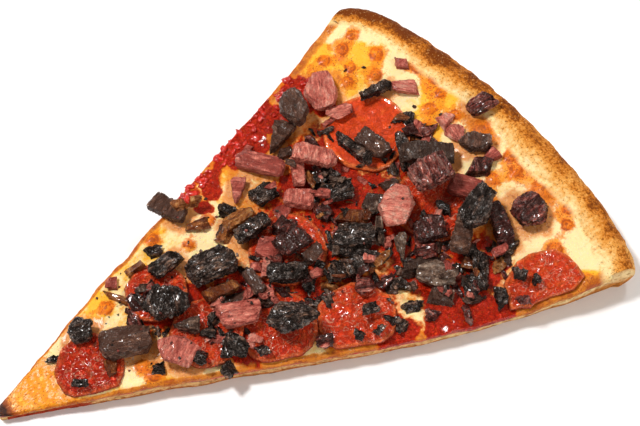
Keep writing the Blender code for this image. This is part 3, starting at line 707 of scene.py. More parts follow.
def cheese_paint(looks):
    paint = Paint(
        "melted_cheese",
        Specular_IOR_Level=0.14,
        Coat_Roughness=0.14,
        Coat_IOR=1.4,
        Subsurface_Weight=0.2,
        Subsurface_Radius=(1.0, 0.4, 0.12),
        Subsurface_Scale=0.002,
    )
    place = paint.place()
    sauce, yellow, blister, toast = paint.marks("sauce", "yellow", "blister", "toast")
    bake, lap, juice, lip = paint.marks("bake", "lap", "juice", "lip")
    mottle = paint.noise(place, 6.0, 7.0, 0.62)
    fine = paint.noise(place, 1.5, 5.0, 0.65)
    oil = paint.noise(place, 14.0, 4.0, 0.5)
    specks = paint.noise(place, 0.6, 2.0, 0.5)
    pits = paint.cells(place, 2.6)
    # Cream where the cheese is thick, yellow where its oil has gathered
    oily = yellow * 0.9 + (mottle - 0.46) * 2.2 + (oil - 0.5) * 1.8 + (fine - 0.5) * 0.6
    yellowness = oily.step(-0.1, 0.75) * (0.8 + fine * 0.4)
    # Toasted patches with darker edges
    heat = toast + (mottle - 0.5) * 0.9 + (fine - 0.5) * 0.5
    toasted = heat.step(0.46, 0.7)
    border = heat.step(0.44, 0.54) * (1.0 - heat.step(0.56, 0.68))
    scorched = (toast * 0.8 + (mottle - 0.5) * 1.3 + (fine - 0.5) * 1.2).step(0.5, 0.95)
    # A browned crescent and middle at each blister
    uneven = blister + (fine - 0.5) * 0.35 + (mottle - 0.5) * 0.35
    patch = paint.noise(place, 3.2, 2.0, 0.5)
    around = uneven.step(0.1, 0.45) * (1.0 - uneven.step(0.75, 1.05))
    ring = uneven.step(0.26, 0.45) * (1.0 - uneven.step(0.5, 0.75))
    middle = (uneven + (patch - 0.5) * 1.4).step(0.88, 1.08)
    # Meat juice stains it round the chunks, together with painted shade beside and under them, and heat
    # browns its cut edge
    stained = (juice + (mottle - 0.5) * 1.0 + (fine - 0.5) * 0.6).step(0.25, 0.85)
    browned = lip + (mottle - 0.5) * 1.1 + (fine - 0.5) * 0.7
    dots = (specks + toast * 0.13 + bake * 0.2).step(0.67, 0.74)
    pale = (specks + (fine - 0.5) * 0.4 - yellow * 0.1).step(0.62, 0.74) * (1.0 - toasted)
    # The thin end on the rim bakes as the crust does
    rim = rim_colour(paint, place, lap * 0.2, bake, looks)
    # Sauce soaks in from orange to wet red
    soaked = sauce + (mottle - 0.5) * 1.0 + (fine - 0.5) * 0.5
    wet = soaked.step(0.38, 0.58)
    grains = (abs(paint.noise(place, 1.5, 3.0, 0.6, 1.2) - 0.5) * 7.0).clamp()
    red = paint.mix((fine + grains * 0.15).step(0.42, 0.7), looks.sauce_dark, looks.sauce_red)
    red = paint.mix(specks.step(0.6, 0.7) * 0.5, red, looks.cheese_orange)
    colour = paint.coats(
        looks.cheese_cream,
        (yellowness, looks.cheese_yellow),
        (toasted * 0.9, looks.cheese_toasted),
        (border * 0.45, looks.cheese_orange),
        (scorched * 0.75, looks.cheese_orange),
        (around * patch.step(0.26, 0.46) * 0.85, looks.cheese_orange),
        (ring * patch.step(0.42, 0.58) * 0.8, looks.cheese_browned),
        (middle * 0.8, looks.cheese_browned),
        (stained * 0.75, looks.cheese_juice_and_shade),
        # Painted shade, darkest close under the chunks
        ((juice + (fine - 0.5) * 1.6).step(0.95, 1.2) * 0.55, looks.cheese_browned),
        (browned.step(0.3, 0.75) * 0.8, looks.cheese_toasted),
        (browned.step(0.45, 0.95) * 0.9, looks.crust_brown),
        (browned.step(0.9, 1.2) * 0.8, looks.cheese_browned),
        (dots * 0.75, looks.cheese_browned),
        (pale * 0.4, looks.cheese_white),
        ((bake + (mottle - 0.5) * 1.2).step(0.3, 0.7) * 0.8, looks.cheese_browned),
        ((bake + (fine - 0.5) * 0.7).step(0.6, 0.95), looks.crust_dark),
        ((bake + (fine - 0.5) * 0.5).step(0.85, 1.0), looks.char),
        ((lap + (mottle - 0.5) * 0.8).step(0.1, 0.7), rim),
        (soaked.step(0.1, 0.45) * 0.85, looks.cheese_orange),
        (wet * 0.96, red),
    )
    relief = fine * 0.5 + specks * 0.15 - (1.0 - pits.step(0.0, 0.28)) * 0.3 + grains * wet * 0.7
    paint.feed(
        Base_Color=colour,
        Roughness=0.34 + fine * 0.2 - wet * 0.16,
        Coat_Weight=(wet * 0.45 + toasted * 0.1 + stained * 0.2).clamp(),
        Normal=paint.bump(relief, 0.7),
    )
    return paint.material


def crust_paint(looks):
    paint = Paint("baked_crust", Specular_IOR_Level=0.05)
    place = paint.place()
    cut, under, bake, stain, depth = paint.marks("cut", "under", "bake", "stain", "depth")
    mottle = paint.noise(place, 9.0, 6.0, 0.62)
    fine = paint.noise(place, 1.5, 5.0, 0.65)
    dust = paint.noise(place, 0.6, 3.0, 0.6)
    rim = rim_colour(paint, place, paint.mark("browning"), bake, looks)
    # Bready cut sides with a brown line along the bottom
    pores = paint.noise(place, 1.9, 4.0, 0.7).step(0.52, 0.66)
    toasted = (depth + (fine - 0.5) * 0.6).step(0.4, 0.8)
    top_line = ((0.18 - depth) * 4.0 + (fine - 0.5) * 0.8).clamp()
    crumb = paint.coats(
        looks.crumb,
        (mottle.step(0.4, 0.6) * 0.5, looks.cheese_cream),
        ((stain * 1.6).clamp() * 0.6, looks.crust_gold),
        # Painted shade in the pores
        (pores * 0.7, looks.crust_gold),
        (fine.step(0.58, 0.7) * 0.6, looks.crust_brown),
        (toasted * 0.9, looks.crust_brown),
        ((depth + (fine - 0.5) * 0.4).step(0.82, 0.98) * 0.8, looks.crust_dark),
        (top_line * 0.6, looks.crust_gold),
        ((stain + (fine - 0.5) * 0.8).step(0.3, 0.7) * 0.9, looks.sauce_dark),
    )
    underside = paint.coats(
        looks.crust_gold,
        (paint.noise(place, 12.0, 5.0, 0.6).step(0.5, 0.68) * 0.8, looks.crust_brown),
        (fine.step(0.58, 0.72) * 0.7, looks.crust_dark),
        (dust.step(0.6, 0.7) * 0.25, looks.crust_pale),
    )
    relief = fine * 0.6 + dust * 0.3 + mottle * 0.4 - cut * pores * 0.8
    paint.feed(
        Base_Color=paint.coats(rim, (cut, crumb), (under, underside)),
        Roughness=0.5 + fine * 0.3,
        Normal=paint.bump(relief, 0.6),
    )
    return paint.material


def sauce_paint(looks):
    paint = Paint("tomato_sauce", Specular_IOR_Level=0.3, Coat_Roughness=0.06)
    place = paint.place()
    lumps = paint.noise(place, 2.4, 5.0, 0.6)
    fine = paint.noise(place, 0.7, 3.0, 0.6)
    colour = paint.coats(
        looks.sauce_dark,
        (lumps.step(0.35, 0.65), looks.sauce_red),
        (fine.step(0.6, 0.75) * 0.5, looks.cheese_orange),
    )
    paint.feed(
        Base_Color=colour,
        Roughness=0.16 + lumps * 0.25,
        Coat_Weight=0.4 + lumps * 0.5,
        Normal=paint.bump(lumps * 0.7 + fine * 0.3, 0.4),
    )
    return paint.material


def pepperoni_paint(looks):
    paint = Paint("pepperoni", Specular_IOR_Level=0.2, Coat_Roughness=0.1)
    place = paint.place()
    rim, redness, crease = paint.marks("rim", "redness", "crease")
    lumps = paint.noise(place, 3.4, 5.0, 0.6)
    fine = paint.noise(place, 0.9, 4.0, 0.65)
    puckers = (abs(paint.noise(place, 2.2, 3.0, 0.6, 1.0) - 0.5) * 6.0).clamp()
    fat = paint.cells(place, 2.1).step(0.18, 0.05) * lumps.step(0.4, 0.6)
    # Painted highlights on the crests of the wrinkles, as a net
    folds = paint.noise(place, 4.5, 2.0, 0.5, 1.6)
    crest_highlights = abs(folds - 0.5).step(0.04, 0.0) * (lumps + fine * 0.6).step(0.66, 0.84)
    ring = rim.step(0.88, 0.97) * (0.5 + lumps) * (1.0 - redness * 0.6)
    colour = paint.coats(
        looks.pepperoni_orange,
        (redness, looks.pepperoni_red),
        (lumps.step(0.45, 0.7) * redness * 0.55, looks.pepperoni_dark),
        (lumps.step(0.48, 0.3) * 0.45, looks.pepperoni_fat),
        # Painted shade in the folds and in the valleys of the puckers
        (crease.step(0.1, 0.9) * 0.3, looks.pepperoni_dark),
        ((1.0 - puckers) * redness * 0.45, looks.pepperoni_dark),
        (fat * 0.5, looks.pepperoni_fat),
        (crest_highlights * redness.step(0.25, 0.5) * 0.7, looks.pepperoni_highlight),
        (ring * 0.8, looks.pepperoni_fat),
        (rim.step(0.99, 1.05) * 0.75, looks.pepperoni_dark),
    )
    paint.feed(
        Base_Color=colour,
        Roughness=0.18 + fine * 0.2 + redness * 0.12,
        Coat_Weight=lumps.step(0.38, 0.56) * (1.15 - redness),
        Normal=paint.bump(fine * 0.3 + lumps * 0.3 + puckers * (redness + 0.4) * 0.8, 1.2),
    )
    return paint.material


def meat_material(kind, looks):
    """Fibrous meat: light along the ridges of its grain and dark in its creases, with painted shade in the
    creases and thin lines of painted highlight.
    """
    name = f"chopped_{kind}"
    if name in bpy.data.materials:
        return bpy.data.materials[name]
    made = KINDS[kind]
    dark, middle, light = getattr(looks, made.dark), getattr(looks, kind), getattr(looks, f"{kind}_light")
    warm = (1.0, 0.82, 0.68, 1.0)
    paint = Paint(name, Specular_IOR_Level=0.25, Specular_Tint=warm, Coat_Roughness=0.1)
    grain = paint.node("Attribute", {"attribute_name": "grain"}, out="Vector")
    crag, tint, fatty = paint.marks("crag", "tint", "fatty")
    along = paint.stretched(grain, (0.4, 1.0, 1.0))
    fibres = paint.noise(paint.stretched(grain, (0.16, 1.0, 1.0)), made.grain, 4.0, 0.6)
    lumps = paint.noise(grain, 2.6, 5.0, 0.6)
    fine = paint.noise(grain, 0.5, 3.0, 0.6)
    # Painted shade in the cracks and grooves of the skin comes in with the crag mark
    uneven = (fibres - 0.5) * 1.5 + (lumps - 0.5) * 1.1 + (fine - 0.5) * 0.9 + crag * 0.3
    tone = (0.5 + uneven * made.contrast + tint * 0.3).clamp()
    colour = paint.node("ValToRGB", {"stops": ((0.12, dark), (0.5, middle), (0.92, light))}, {0: tone})
    if made.marbling:
        veins = paint.noise(paint.stretched(grain, (0.35, 1.0, 1.0)), 3.0, 3.0, 0.5, 1.2)
        colour = paint.mix((veins + fatty * 0.16).step(0.66, 0.72) * made.marbling, colour, looks.fat)
    # Painted shade in the thin creases of the shreds, and thin lines of painted highlight along the grain
    shreds = (abs(paint.noise(along, 2.6, 3.0, 0.6, 1.0) - 0.5) * 6.0).clamp()
    thin = abs(paint.noise(along, 1.7, 3.0, 0.6, 1.6) - 0.5)
    strands = thin.step(0.06, 0.0) * (fine + lumps).step(0.95, 1.15)
    relief = fibres * 0.5 + fine * 0.35 + shreds * 0.6 + strands * 0.3
    paint.feed(
        Base_Color=paint.coats(
            colour, ((1.0 - shreds) * made.creases, dark), (strands * made.strands, looks.painted_glint)
        ),
        Roughness=made.roughness + fine * 0.25,
        Coat_Weight=lumps.step(0.42, 0.62) * made.gloss,
        Normal=paint.bump(relief, 0.9),
    )
    return paint.material


def colour(name, description, default):
    return FloatVectorProperty(
        name=name, description=description, subtype="COLOR", size=3, min=0.0, max=1.0, default=default
    )


def size(name, description, default, low=0.0, high=10.0):
    return FloatProperty(name=name, description=description, default=default, min=low, max=high)


class SliceLooks(bpy.types.PropertyGroup):
    """Sizes in millimetres and colours of the slice."""

    cheese_step: size("Cheese step", "Distance between points of the cheese, in mm", 0.64, 0.3, 5.0)
    crumb_depth: size("Crumb depth", "Depth of the pores in the cut sides, in mm", 0.7)
    rim_grit: size("Rim grit", "Height of the small bumps of the rim, in mm", 0.45)
    wrinkle: size("Wrinkles", "Height of the wrinkles of the pepperoni, in mm", 0.55)
    shards: IntProperty(name="Shards", description="Small shards in the heap", default=250, min=1, max=600)
    drops: IntProperty(name="Drops", description="Number of drops of sauce", default=120, min=1, max=600)
    crumbs: IntProperty(name="Crumbs", description="Number of loose crumbs", default=120, min=1, max=600)

    cheese_cream: colour("Cream cheese", "Thick parts of the melted cheese", (0.94, 0.71, 0.35))
    cheese_yellow: colour("Yellow cheese", "Oily parts of the melted cheese", (0.88, 0.44, 0.025))
    cheese_toasted: colour("Toasted cheese", "Cheese round the blisters", (0.84, 0.29, 0.006))
    cheese_orange: colour("Orange cheese", "Cheese stained by oil and heat", (0.7, 0.135, 0.002))
    cheese_white: colour("Pale cheese", "Small pale flecks of the cheese", (0.98, 0.86, 0.6))
    # Meat juice stain, which also carries painted shade beside the chunks
    cheese_juice_and_shade: colour("Stained cheese", "Cheese beside the meat", (0.68, 0.18, 0.012))
    cheese_browned: colour("Browned cheese", "Middles of the blisters", (0.33, 0.055, 0.006))
    sauce_red: colour("Sauce", "Bright parts of the sauce", (0.64, 0.018, 0.004))
    sauce_dark: colour("Dark sauce", "Deep parts of the sauce", (0.36, 0.006, 0.002))
    crust_pale: colour("Pale crust", "Inner slope of the rim", (0.86, 0.52, 0.19))
    crust_gold: colour("Golden crust", "Lightly baked crust", (0.74, 0.32, 0.06))
    crust_brown: colour("Brown crust", "Well baked crust", (0.56, 0.17, 0.015))
    crust_dark: colour("Dark crust", "Darkest patches of the crust", (0.16, 0.034, 0.004))
    char: colour("Char", "Burnt tip", (0.035, 0.008, 0.003))
    crumb: colour("Crumb", "Inside of the dough", (0.78, 0.55, 0.27))
    pepperoni_orange: colour("Orange pepperoni", "Oily pepperoni", (0.84, 0.075, 0.006))
    pepperoni_red: colour("Red pepperoni", "Redder pepperoni", (0.88, 0.045, 0.009))
    # Used for the pepperoni's dark edge and patches, and for the painted shade in its creases
    pepperoni_dark: colour("Dark pepperoni", "Creases of the pepperoni", (0.4, 0.01, 0.003))
    # Colour of the painted highlights on the crests of the wrinkles
    pepperoni_highlight: colour("Pepperoni crests", "Pale crests of the wrinkles", (0.95, 0.4, 0.24))
    pepperoni_fat: colour("Pepperoni fat", "Orange fat of the pepperoni", (0.92, 0.22, 0.05))
    ham: colour("Ham", "Middle tone of the ham", (0.78, 0.22, 0.155))
    ham_light: colour("Light ham", "Light tone of the ham", (0.95, 0.47, 0.34))
    ham_dark: colour("Dark ham", "Dark tone of the ham", (0.3, 0.05, 0.036))
    bacon: colour("Bacon", "Middle tone of the bacon", (0.3, 0.045, 0.032))
    bacon_light: colour("Light bacon", "Light tone of the bacon", (0.66, 0.22, 0.16))
    bacon_dark: colour("Dark bacon", "Dark tone of the bacon", (0.03, 0.004, 0.003))
    brisket: colour("Smoked beef", "Middle tone of the smoked beef", (0.062, 0.025, 0.016))
    brisket_light: colour("Light smoked beef", "Light tone of the smoked beef", (0.32, 0.165, 0.1))
    brisket_dark: colour("Dark smoked beef", "Dark tone of the smoked beef", (0.005, 0.002, 0.0015))
    beef: colour("Beef", "Middle tone of the beef", (0.17, 0.068, 0.04))
    beef_light: colour("Light beef", "Light tone of the beef", (0.42, 0.22, 0.14))
    mushroom: colour("Mushroom", "Middle tone of the mushroom", (0.25, 0.145, 0.095))
    mushroom_light: colour("Light mushroom", "Light tone of the mushroom", (0.54, 0.39, 0.29))
    mushroom_dark: colour("Dark mushroom", "Dark tone of the mushroom", (0.04, 0.018, 0.012))
    onion: colour("Onion", "Middle tone of the fried onion", (0.42, 0.14, 0.03))
    onion_light: colour("Light onion", "Light tone of the fried onion", (0.72, 0.38, 0.13))
    onion_dark: colour("Dark onion", "Dark tone of the fried onion", (0.12, 0.024, 0.006))
    # Colour of the thin lines of painted highlight on the meat
    painted_glint: colour("Sinew", "Thin pale strands of the meat", (0.56, 0.44, 0.38))
    fat: colour("Fat", "Fat of the bacon and the ham", (0.68, 0.34, 0.26))
    floor: colour("Floor", "Colour of the floor", (0.93, 0.93, 0.93))

    turn: size("Turn", "Camera's turn round the slice, in degrees", -32.76, -180.0, 180.0)
    elevation: size("Elevation", "Camera's height over the horizon, in degrees", 62.0, 5.0, 89.0)
    distance: size("Distance", "Camera's distance, in mm", 539.7, 100.0, 3000.0)
    lens: size("Lens", "Camera's focal length, in mm", 85.0, 20.0, 300.0)


def cut_path(rows):
    """Numbers of the points round a sheet's open sides: left, tip and right."""
    left = [row[-1] for row in rows[::-1]]
    right = [row[0] for row in rows]
    return left + list(rows[0][::-1][1:-1]) + right


def outward_of(points):
    """Level unit vectors that point away from the slice along a path round its open sides."""
    steps = np.gradient(points[:, :2], axis=0)
    steps = steps / np.maximum(np.linalg.norm(steps, axis=1, keepdims=True), 1e-9)
    outward = np.column_stack([steps[:, 1], -steps[:, 0], np.zeros(len(steps))])
    middle = points.mean(axis=0)
    if np.sum((points - middle)[0] * outward[0]) < 0.0:
        outward = -outward
    return outward


class PIZZA_OT_cheese(bpy.types.Operator):
    """Melts the cheese over the slice, down its cut sides and onto the rim"""

    bl_idname = "pizza.cheese"
    bl_label = "Cheese"

    def execute(self, context):
        looks = context.scene.slice_looks
        shell = Shell()
        along, across, out, lap, counts = self.plan(looks)
        x, y = slice_point(along, across)
        z = cheese_top(np.minimum(along, cheese_end(across)), across, x, y)
        on_rim = out > 0.0
        lift = (z - lip_height(x, y)) * (1.0 - lap) ** 1.3 - 0.25 * lap
        z = np.where(on_rim, inner_rim_level(out, x, y) + lift, z)
        marks = self.marks_at(x, y, across)
        marks["lap"] = lap * on_rim
        inside = ease((1.0 - np.abs(across)) / 0.02)
        ripple = 0.16 * wave(x, y, 1.7, 31.0) + 0.09 * wave(x, y, 0.9, 32.0)
        z = z + inside * ripple * (1.0 - marks["lap"])
        z = z - 0.35 * marks["sauce"] * inside + 0.35 * marks["blister"] * inside
        points = np.column_stack([x, y, z])
        rows = []
        for part in np.split(np.arange(len(points)), np.cumsum(counts)[:-1]):
            rows.append(shell.add(points[part], **{name: value[part] for name, value in marks.items()}))
        for one, other in zip(rows, rows[1:]):
            if len(one) == len(other):
                shell.grid(np.stack([one, other]))
            else:
                shell.stitch(one, other)
        skirt = self.skirt(shell, cut_path(rows), points, along, marks)
        lower = self.underside(shell)
        shell.stitch(skirt[-1], cut_path(lower), by_length=True)
        end_row = [row[-1] for row in skirt[::-1]] + list(rows[-1]) + [row[0] for row in skirt]
        shell.stitch(end_row, lower[-1], by_length=True)
        shell.dress("melted_cheese", cheese_paint(looks), "cheese", ["cheese"])
        return {"FINISHED"}

    def plan(self, looks):
        """Rows from the tip to the rim, and on up the rim: places, lap over the rim and row lengths."""
        rows = []
        for share in np.linspace(0.0, 1.0, int(CHEESE_LENGTH / looks.cheese_step)):
            count = next(count for reach, count in ROW_COUNTS if share < reach)
            across = np.linspace(-1.0, 1.0, count)
            rows.append((share * cheese_end(across), across, np.zeros(count), np.zeros(count)))
        end = cheese_end(across)
        place = across * RIM_HALF_WIDTH
        reach = 0.30 + 0.14 * wave(place, 0.0, 9.0, 3.3) + 0.05 * wave(place, 0.0, 2.5, 3.3)
        for share in np.linspace(0.0, 1.0, LAP_ROWS + 1)[1:]:
            out = share * reach
            rows.append((end + (1.0 - end) * out, across, out, np.full(count, share)))
        counts = [len(row[0]) for row in rows]
        return *(np.concatenate(parts) for parts in zip(*rows)), counts

    def skirt(self, shell, path, points, along, marks):
        """The cheese that hangs over the sauce at the cut sides."""
        edge = points[path]
        outward = outward_of(edge)
        run = edge[:, 0]
        side = np.sign(edge[:, 1]) * 50.0
        sag = np.maximum(0.0, wave(run, side, 6.0, 41.0)) * 2.4 + 0.35
        sag = sag * (0.35 + 0.65 * ease(run / 30.0))
        neat = ease((run - 140.0) / 25.0) * (edge[:, 1] < 0.0)
        sag = sag * (1.0 - neat) + 1.35 * neat
        bulge = 0.45 + 0.35 * wave(run, side, 5.0, 42.0) + 0.3 * sag
        below = sauce_top(along[path], run, edge[:, 1]) + GAP - sag
        middle = (edge[:, 2] + below) / 2.0
        half = (edge[:, 2] - below) / 2.0
        rows = []
        for share in np.linspace(0.0, 1.0, SKIRT_ROWS + 1)[1:]:
            angle = math.pi * share
            grit = 0.22 * wave(run, side + edge[:, 2] + share * 5.0, 1.5, 43.0) * math.sin(angle)
            hang = edge + outward * (bulge * math.sin(angle) ** 0.8 + grit - 0.3 * share)[:, None]
            hang[:, 2] = middle + half * math.cos(angle)
            own = {name: value[path] for name, value in marks.items()}
            own["sauce"] = np.maximum(own["sauce"] * (1.0 - 0.3 * share), (share - 0.72) * 2.0)
            own["yellow"] = np.maximum(own["yellow"], 0.5 * share)
            own["toast"] = np.maximum(own["toast"], 0.9 * share)
            own["bake"] = own["bake"] + 0.3 * share
            rows.append(shell.add(hang, **own))
        shell.grid(np.stack([np.array(path)] + rows))
        return rows

    def underside(self, shell):
        """The hidden face that lies on the sauce."""
        across = np.linspace(-0.995, 0.995, 15)
        rows = []
        for share in np.linspace(0.0, 1.0, 13):
            along = share * cheese_end(across)
            x, y = slice_point(along, across)
            rows.append(shell.add(np.column_stack([x, y, sauce_top(along, x, y) + GAP])))
        shell.grid(np.stack(rows))
        return rows

    def marks_at(self, x, y, across):
        """Where the cheese is saucy, yellow, blistered or browned."""
        edge = ease((np.abs(across) - 0.93) / 0.07)
        left_streak = ease((x - 84.0) / 14.0) * ease((156.0 - x) / 14.0) * ease((across - 0.72) / 0.2)
        streaks = 0.5 + 0.9 * wave(x, y, 5.0, 51.0)
        sauce = np.maximum(in_spots(x, y, SAUCE_SPOTS), left_streak * np.clip(streaks, 0.0, 1.0))
        sauce = np.maximum(sauce, 0.6 * in_spots(x, y, HEAP_SPOTS))
        blister, toast = on_blisters(x, y)
        cream = in_spots(x, y, CREAM_SPOTS)
        yellow = in_spots(x, y, YELLOW_SPOTS) + 0.4 * edge
        toast = np.maximum(toast, 0.62 * ease((36.0 - x) / 20.0))
        burnt_tip = ease((8.0 - x) / 8.0) ** 2.0
        bake = np.maximum(burnt_tip, edge * 0.35 * (0.5 + wave(x, y, 6.0, 52.0)))
        return {
            "sauce": sauce,
            "yellow": np.clip(yellow - 0.7 * cream, -1.0, 1.0),
            "blister": blister,
            "toast": toast,
            "bake": np.clip(bake, 0.0, 1.0),
            # Meat juice and painted shade round the chunks
            "juice": np.maximum(self.near_chunks(x, y), 0.0),
            "lip": ease((np.abs(across) - 0.93) / 0.05),
        }

    def near_chunks(self, x, y):
        """Where meat juice and painted shade go: 1 under and beside the larger chunks, fading to 0 a few
        millimetres away.
        """
        found = np.zeros(np.shape(x))
        for _, node in CHUNKS:
            outline = solid_of(node)[0][:, :2]
            centre = outline.mean(axis=0)
            axes = np.linalg.svd(outline - centre, full_matrices=False)[2]
            half = np.abs((outline - centre) @ axes.T).max(axis=0)
            place = np.abs((np.column_stack([x, y]) - centre) @ axes.T)
            gap = np.linalg.norm(np.maximum(place - half * 0.9, 0.0), axis=1)
            found = np.maximum(found, np.exp(-((gap / 3.0) ** 2)))
        return found


class PIZZA_OT_crust(bpy.types.Operator):
    """Bakes the dough, its rim and its bready cut sides"""

    bl_idname = "pizza.crust"
    bl_label = "Crust"

    def execute(self, context):
        looks = context.scene.slice_looks
        shell = Shell()
        steps = np.linspace(0.0, 1.0, DOUGH_LENGTHWISE)[:, None]
        side_to_side = np.linspace(-1.0, 1.0, DOUGH_CROSSWISE)[None, :]
        along = steps * cheese_end(side_to_side)
        x, y = slice_point(along, side_to_side)
        top = shell.add(np.stack([x, y, dough_top(along, x, y)], -1), cut=0.5)
        shell.grid(top)
        # Rim, from its inner slope over the crest and round to the underside
        across = np.linspace(-1.0, 1.0, RIM_CROSSWISE)[None, :]
        inner = np.linspace(0.0, 1.0, INNER_ROWS)
        outer = np.radians(np.linspace(84.0, 0.0, OUTER_ROWS))
        lower = np.radians(np.linspace(9.0, 90.0, UNDER_ROWS))
        undercut = RIM_UNDERCUT / (RIGHT_LENGTH * (1.0 - CHEESE_END))
        outs = (
            LIP_OUT + (RIM_CREST - LIP_OUT) * inner,
            RIM_CREST + (1.0 - RIM_CREST) * np.cos(outer) ** 0.9,
            1.0 - undercut * (1.0 - np.cos(lower)),
        )
        out = np.concatenate(outs)[:, None]
        x, y = rim_place(out, across)
        lip = lip_height(x, y)
        crest = rim_top(x, y)
        inside, outside, beneath = np.split(np.arange(len(out)), (INNER_ROWS, INNER_ROWS + OUTER_ROWS))
        rise = np.sin(inner * math.pi / 2.0)[:, None]
        z = np.empty(x.shape)
        z[inside] = lip[inside] * (1.0 - rise) + crest[inside] * rise
        z[outside] = RIM_WAIST + (crest[outside] - RIM_WAIST) * np.sin(outer)[:, None] ** 0.9
        z[beneath] = RIM_WAIST * (1.0 - np.sin(lower))[:, None]
        z = z - 0.7 * (1.0 - ease(out / 0.34)) * (z > lip - 1.0)
        points = np.stack([x, y, z], -1)
        grit = 0.9 * bumps(points, 5.0, 60.0) + 0.5 * bumps(points, 2.2, 61.0)
        grit = looks.rim_grit * (grit + 0.3 * bumps(points, 1.0, 62.0))
        row = np.arange(len(out))[:, None]
        calm = ease(row / 12.0) * ease(row[::-1] / 5.0)
        calm = calm * (0.25 + 0.75 * ease((1.0 - np.abs(across)) / 0.02))
        points = points + normals_of(points) * (grit * calm)[..., None]
        progress = (
            np.linspace(0.0, 0.42, INNER_ROWS),
            np.linspace(0.46, 1.0, OUTER_ROWS),
            np.linspace(1.0, 1.05, UNDER_ROWS),
        )
        browning = np.interp(np.concatenate(progress), BROWNING_AT, BROWNING)
        under = np.concatenate([np.zeros(INNER_ROWS + OUTER_ROWS), np.linspace(0.2, 1.0, UNDER_ROWS)])
        rim = shell.add(
            points,
            browning=browning[:, None] * np.interp(across, (-1.0, -0.3, 0.4, 1.0), (0.66, 0.80, 1.0, 1.4)),
            under=under[:, None],
            bake=in_spots(x, y, BAKE_SPOTS),
        )
        shell.grid(rim)
        shell.stitch(top[-1], rim[0])
        # Underside
        end = cheese_end(0.0) + (1.0 - cheese_end(0.0)) * 0.4
        x, y = slice_point(steps * end, side_to_side * UNDERSIDE_INSET)
        base = shell.add(np.stack([x, y, np.zeros(x.shape)], -1), under=1.0)
        shell.grid(base)
        shell.stitch(rim[-1], base[-1])
        shell.stitch(top[0], base[0])
        # Cut sides
        waist = outside[-1]
        for end, side in ((0, -1.0), (-1, 1.0)):
            upper = np.concatenate([top[:, end], rim[: waist + 1, end]])
            lower = np.concatenate([base[:, end], rim[:waist:-1, end]])
            self.cut_side(shell, upper, lower, side, looks)
        shell.dress("baked_crust", crust_paint(looks), "crust", ["crust"])
        return {"FINISHED"}

    def cut_side(self, shell, upper, lower, side, looks):
        """Fills one cut side with crumb between its upper and its lower line."""
        every = shell.all_points()
        share = shell.spacing(upper, every)
        place = shell.spacing(lower, every)
        above = every[upper]
        below = np.column_stack([np.interp(share, place, line) for line in every[lower].T])
        rows = [upper]
        for depth in np.linspace(0.0, 1.0, CRUMB_ROWS)[1:-1]:
            points = above + (below - above) * depth
            bread = math.sin(math.pi * depth) ** 0.5
            pores = np.clip(bumps(points, (1.9, 1.9, 1.3), 70.0) * 2.2 - 0.35, 0.0, 1.0)
            swell = 0.35 * bumps(points, 4.0, 71.0) + 0.15 * bumps(points, 1.2, 72.0) + 0.25
            push = bread * (swell - pores * looks.crumb_depth)
            stain = ease((30.0 - points[:, 0]) / 8.0) * (side < 0.0)
            stain = np.maximum(stain, 0.42 * ease((165.0 - points[:, 0]) / 40.0))
            points = points + LEFTWARDS * (1.0, side, 1.0) * push[:, None]
            rows.append(shell.add(points, cut=1.0, depth=depth, stain=stain))
        shell.grid(np.stack(rows))
        shell.stitch(rows[-1], lower, by_length=True)


class PIZZA_OT_sauce(bpy.types.Operator):
    """Wets the layer of sauce, and lets it well out along the cut sides"""

    bl_idname = "pizza.sauce"
    bl_label = "Sauce"

    def execute(self, context):
        looks = context.scene.slice_looks
        paint = sauce_paint(looks)
        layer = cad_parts["sauce"]
        layer.data.materials.clear()
        layer.data.materials.append(paint)
        for side, name in ((1, "sauce_left"), (-1, "sauce_right")):
            along = np.linspace(0.012, 0.93, 380)
            x, y = slice_point(along, side)
            path = np.column_stack([x, y, sauce_top(along, x, y) - 0.3])
            outward = LEFTWARDS * (1.0, side, 1.0)
            swell = 0.55 + 0.5 * wave(x, side * 9.0, 6.0, 81.0) + 0.25 * wave(x, side * 9.0, 2.0, 82.0)
            if side > 0:
                swell = swell + 0.8 * ease((x - 86.0) / 12.0) * ease((158.0 - x) / 12.0)
            else:
                swell = swell * 0.7 * (1.0 - ease((x - 130.0) / 20.0))
            swell = np.clip(swell, 0.12, None) * ease(along / 0.08)
            rings = []
            for angle in np.linspace(0.0, 2.0 * math.pi, 10, endpoint=False):
                ring = path + outward * (np.cos(angle) * swell * 0.9 - 0.2)[:, None]
                ring[:, 2] += np.sin(angle) * (0.35 + swell * 0.45) - swell * 0.3
                rings.append(ring)
            points = np.stack(rings, 1)
            shell = Shell()
            tube = shell.add(points)
            shell.grid(tube, closed=True)
            for end in (0, -1):
                shell.fan(shell.add(points[end].mean(axis=0)), tube[end])
            shell.dress(name, paint, "sauce")
        return {"FINISHED"}


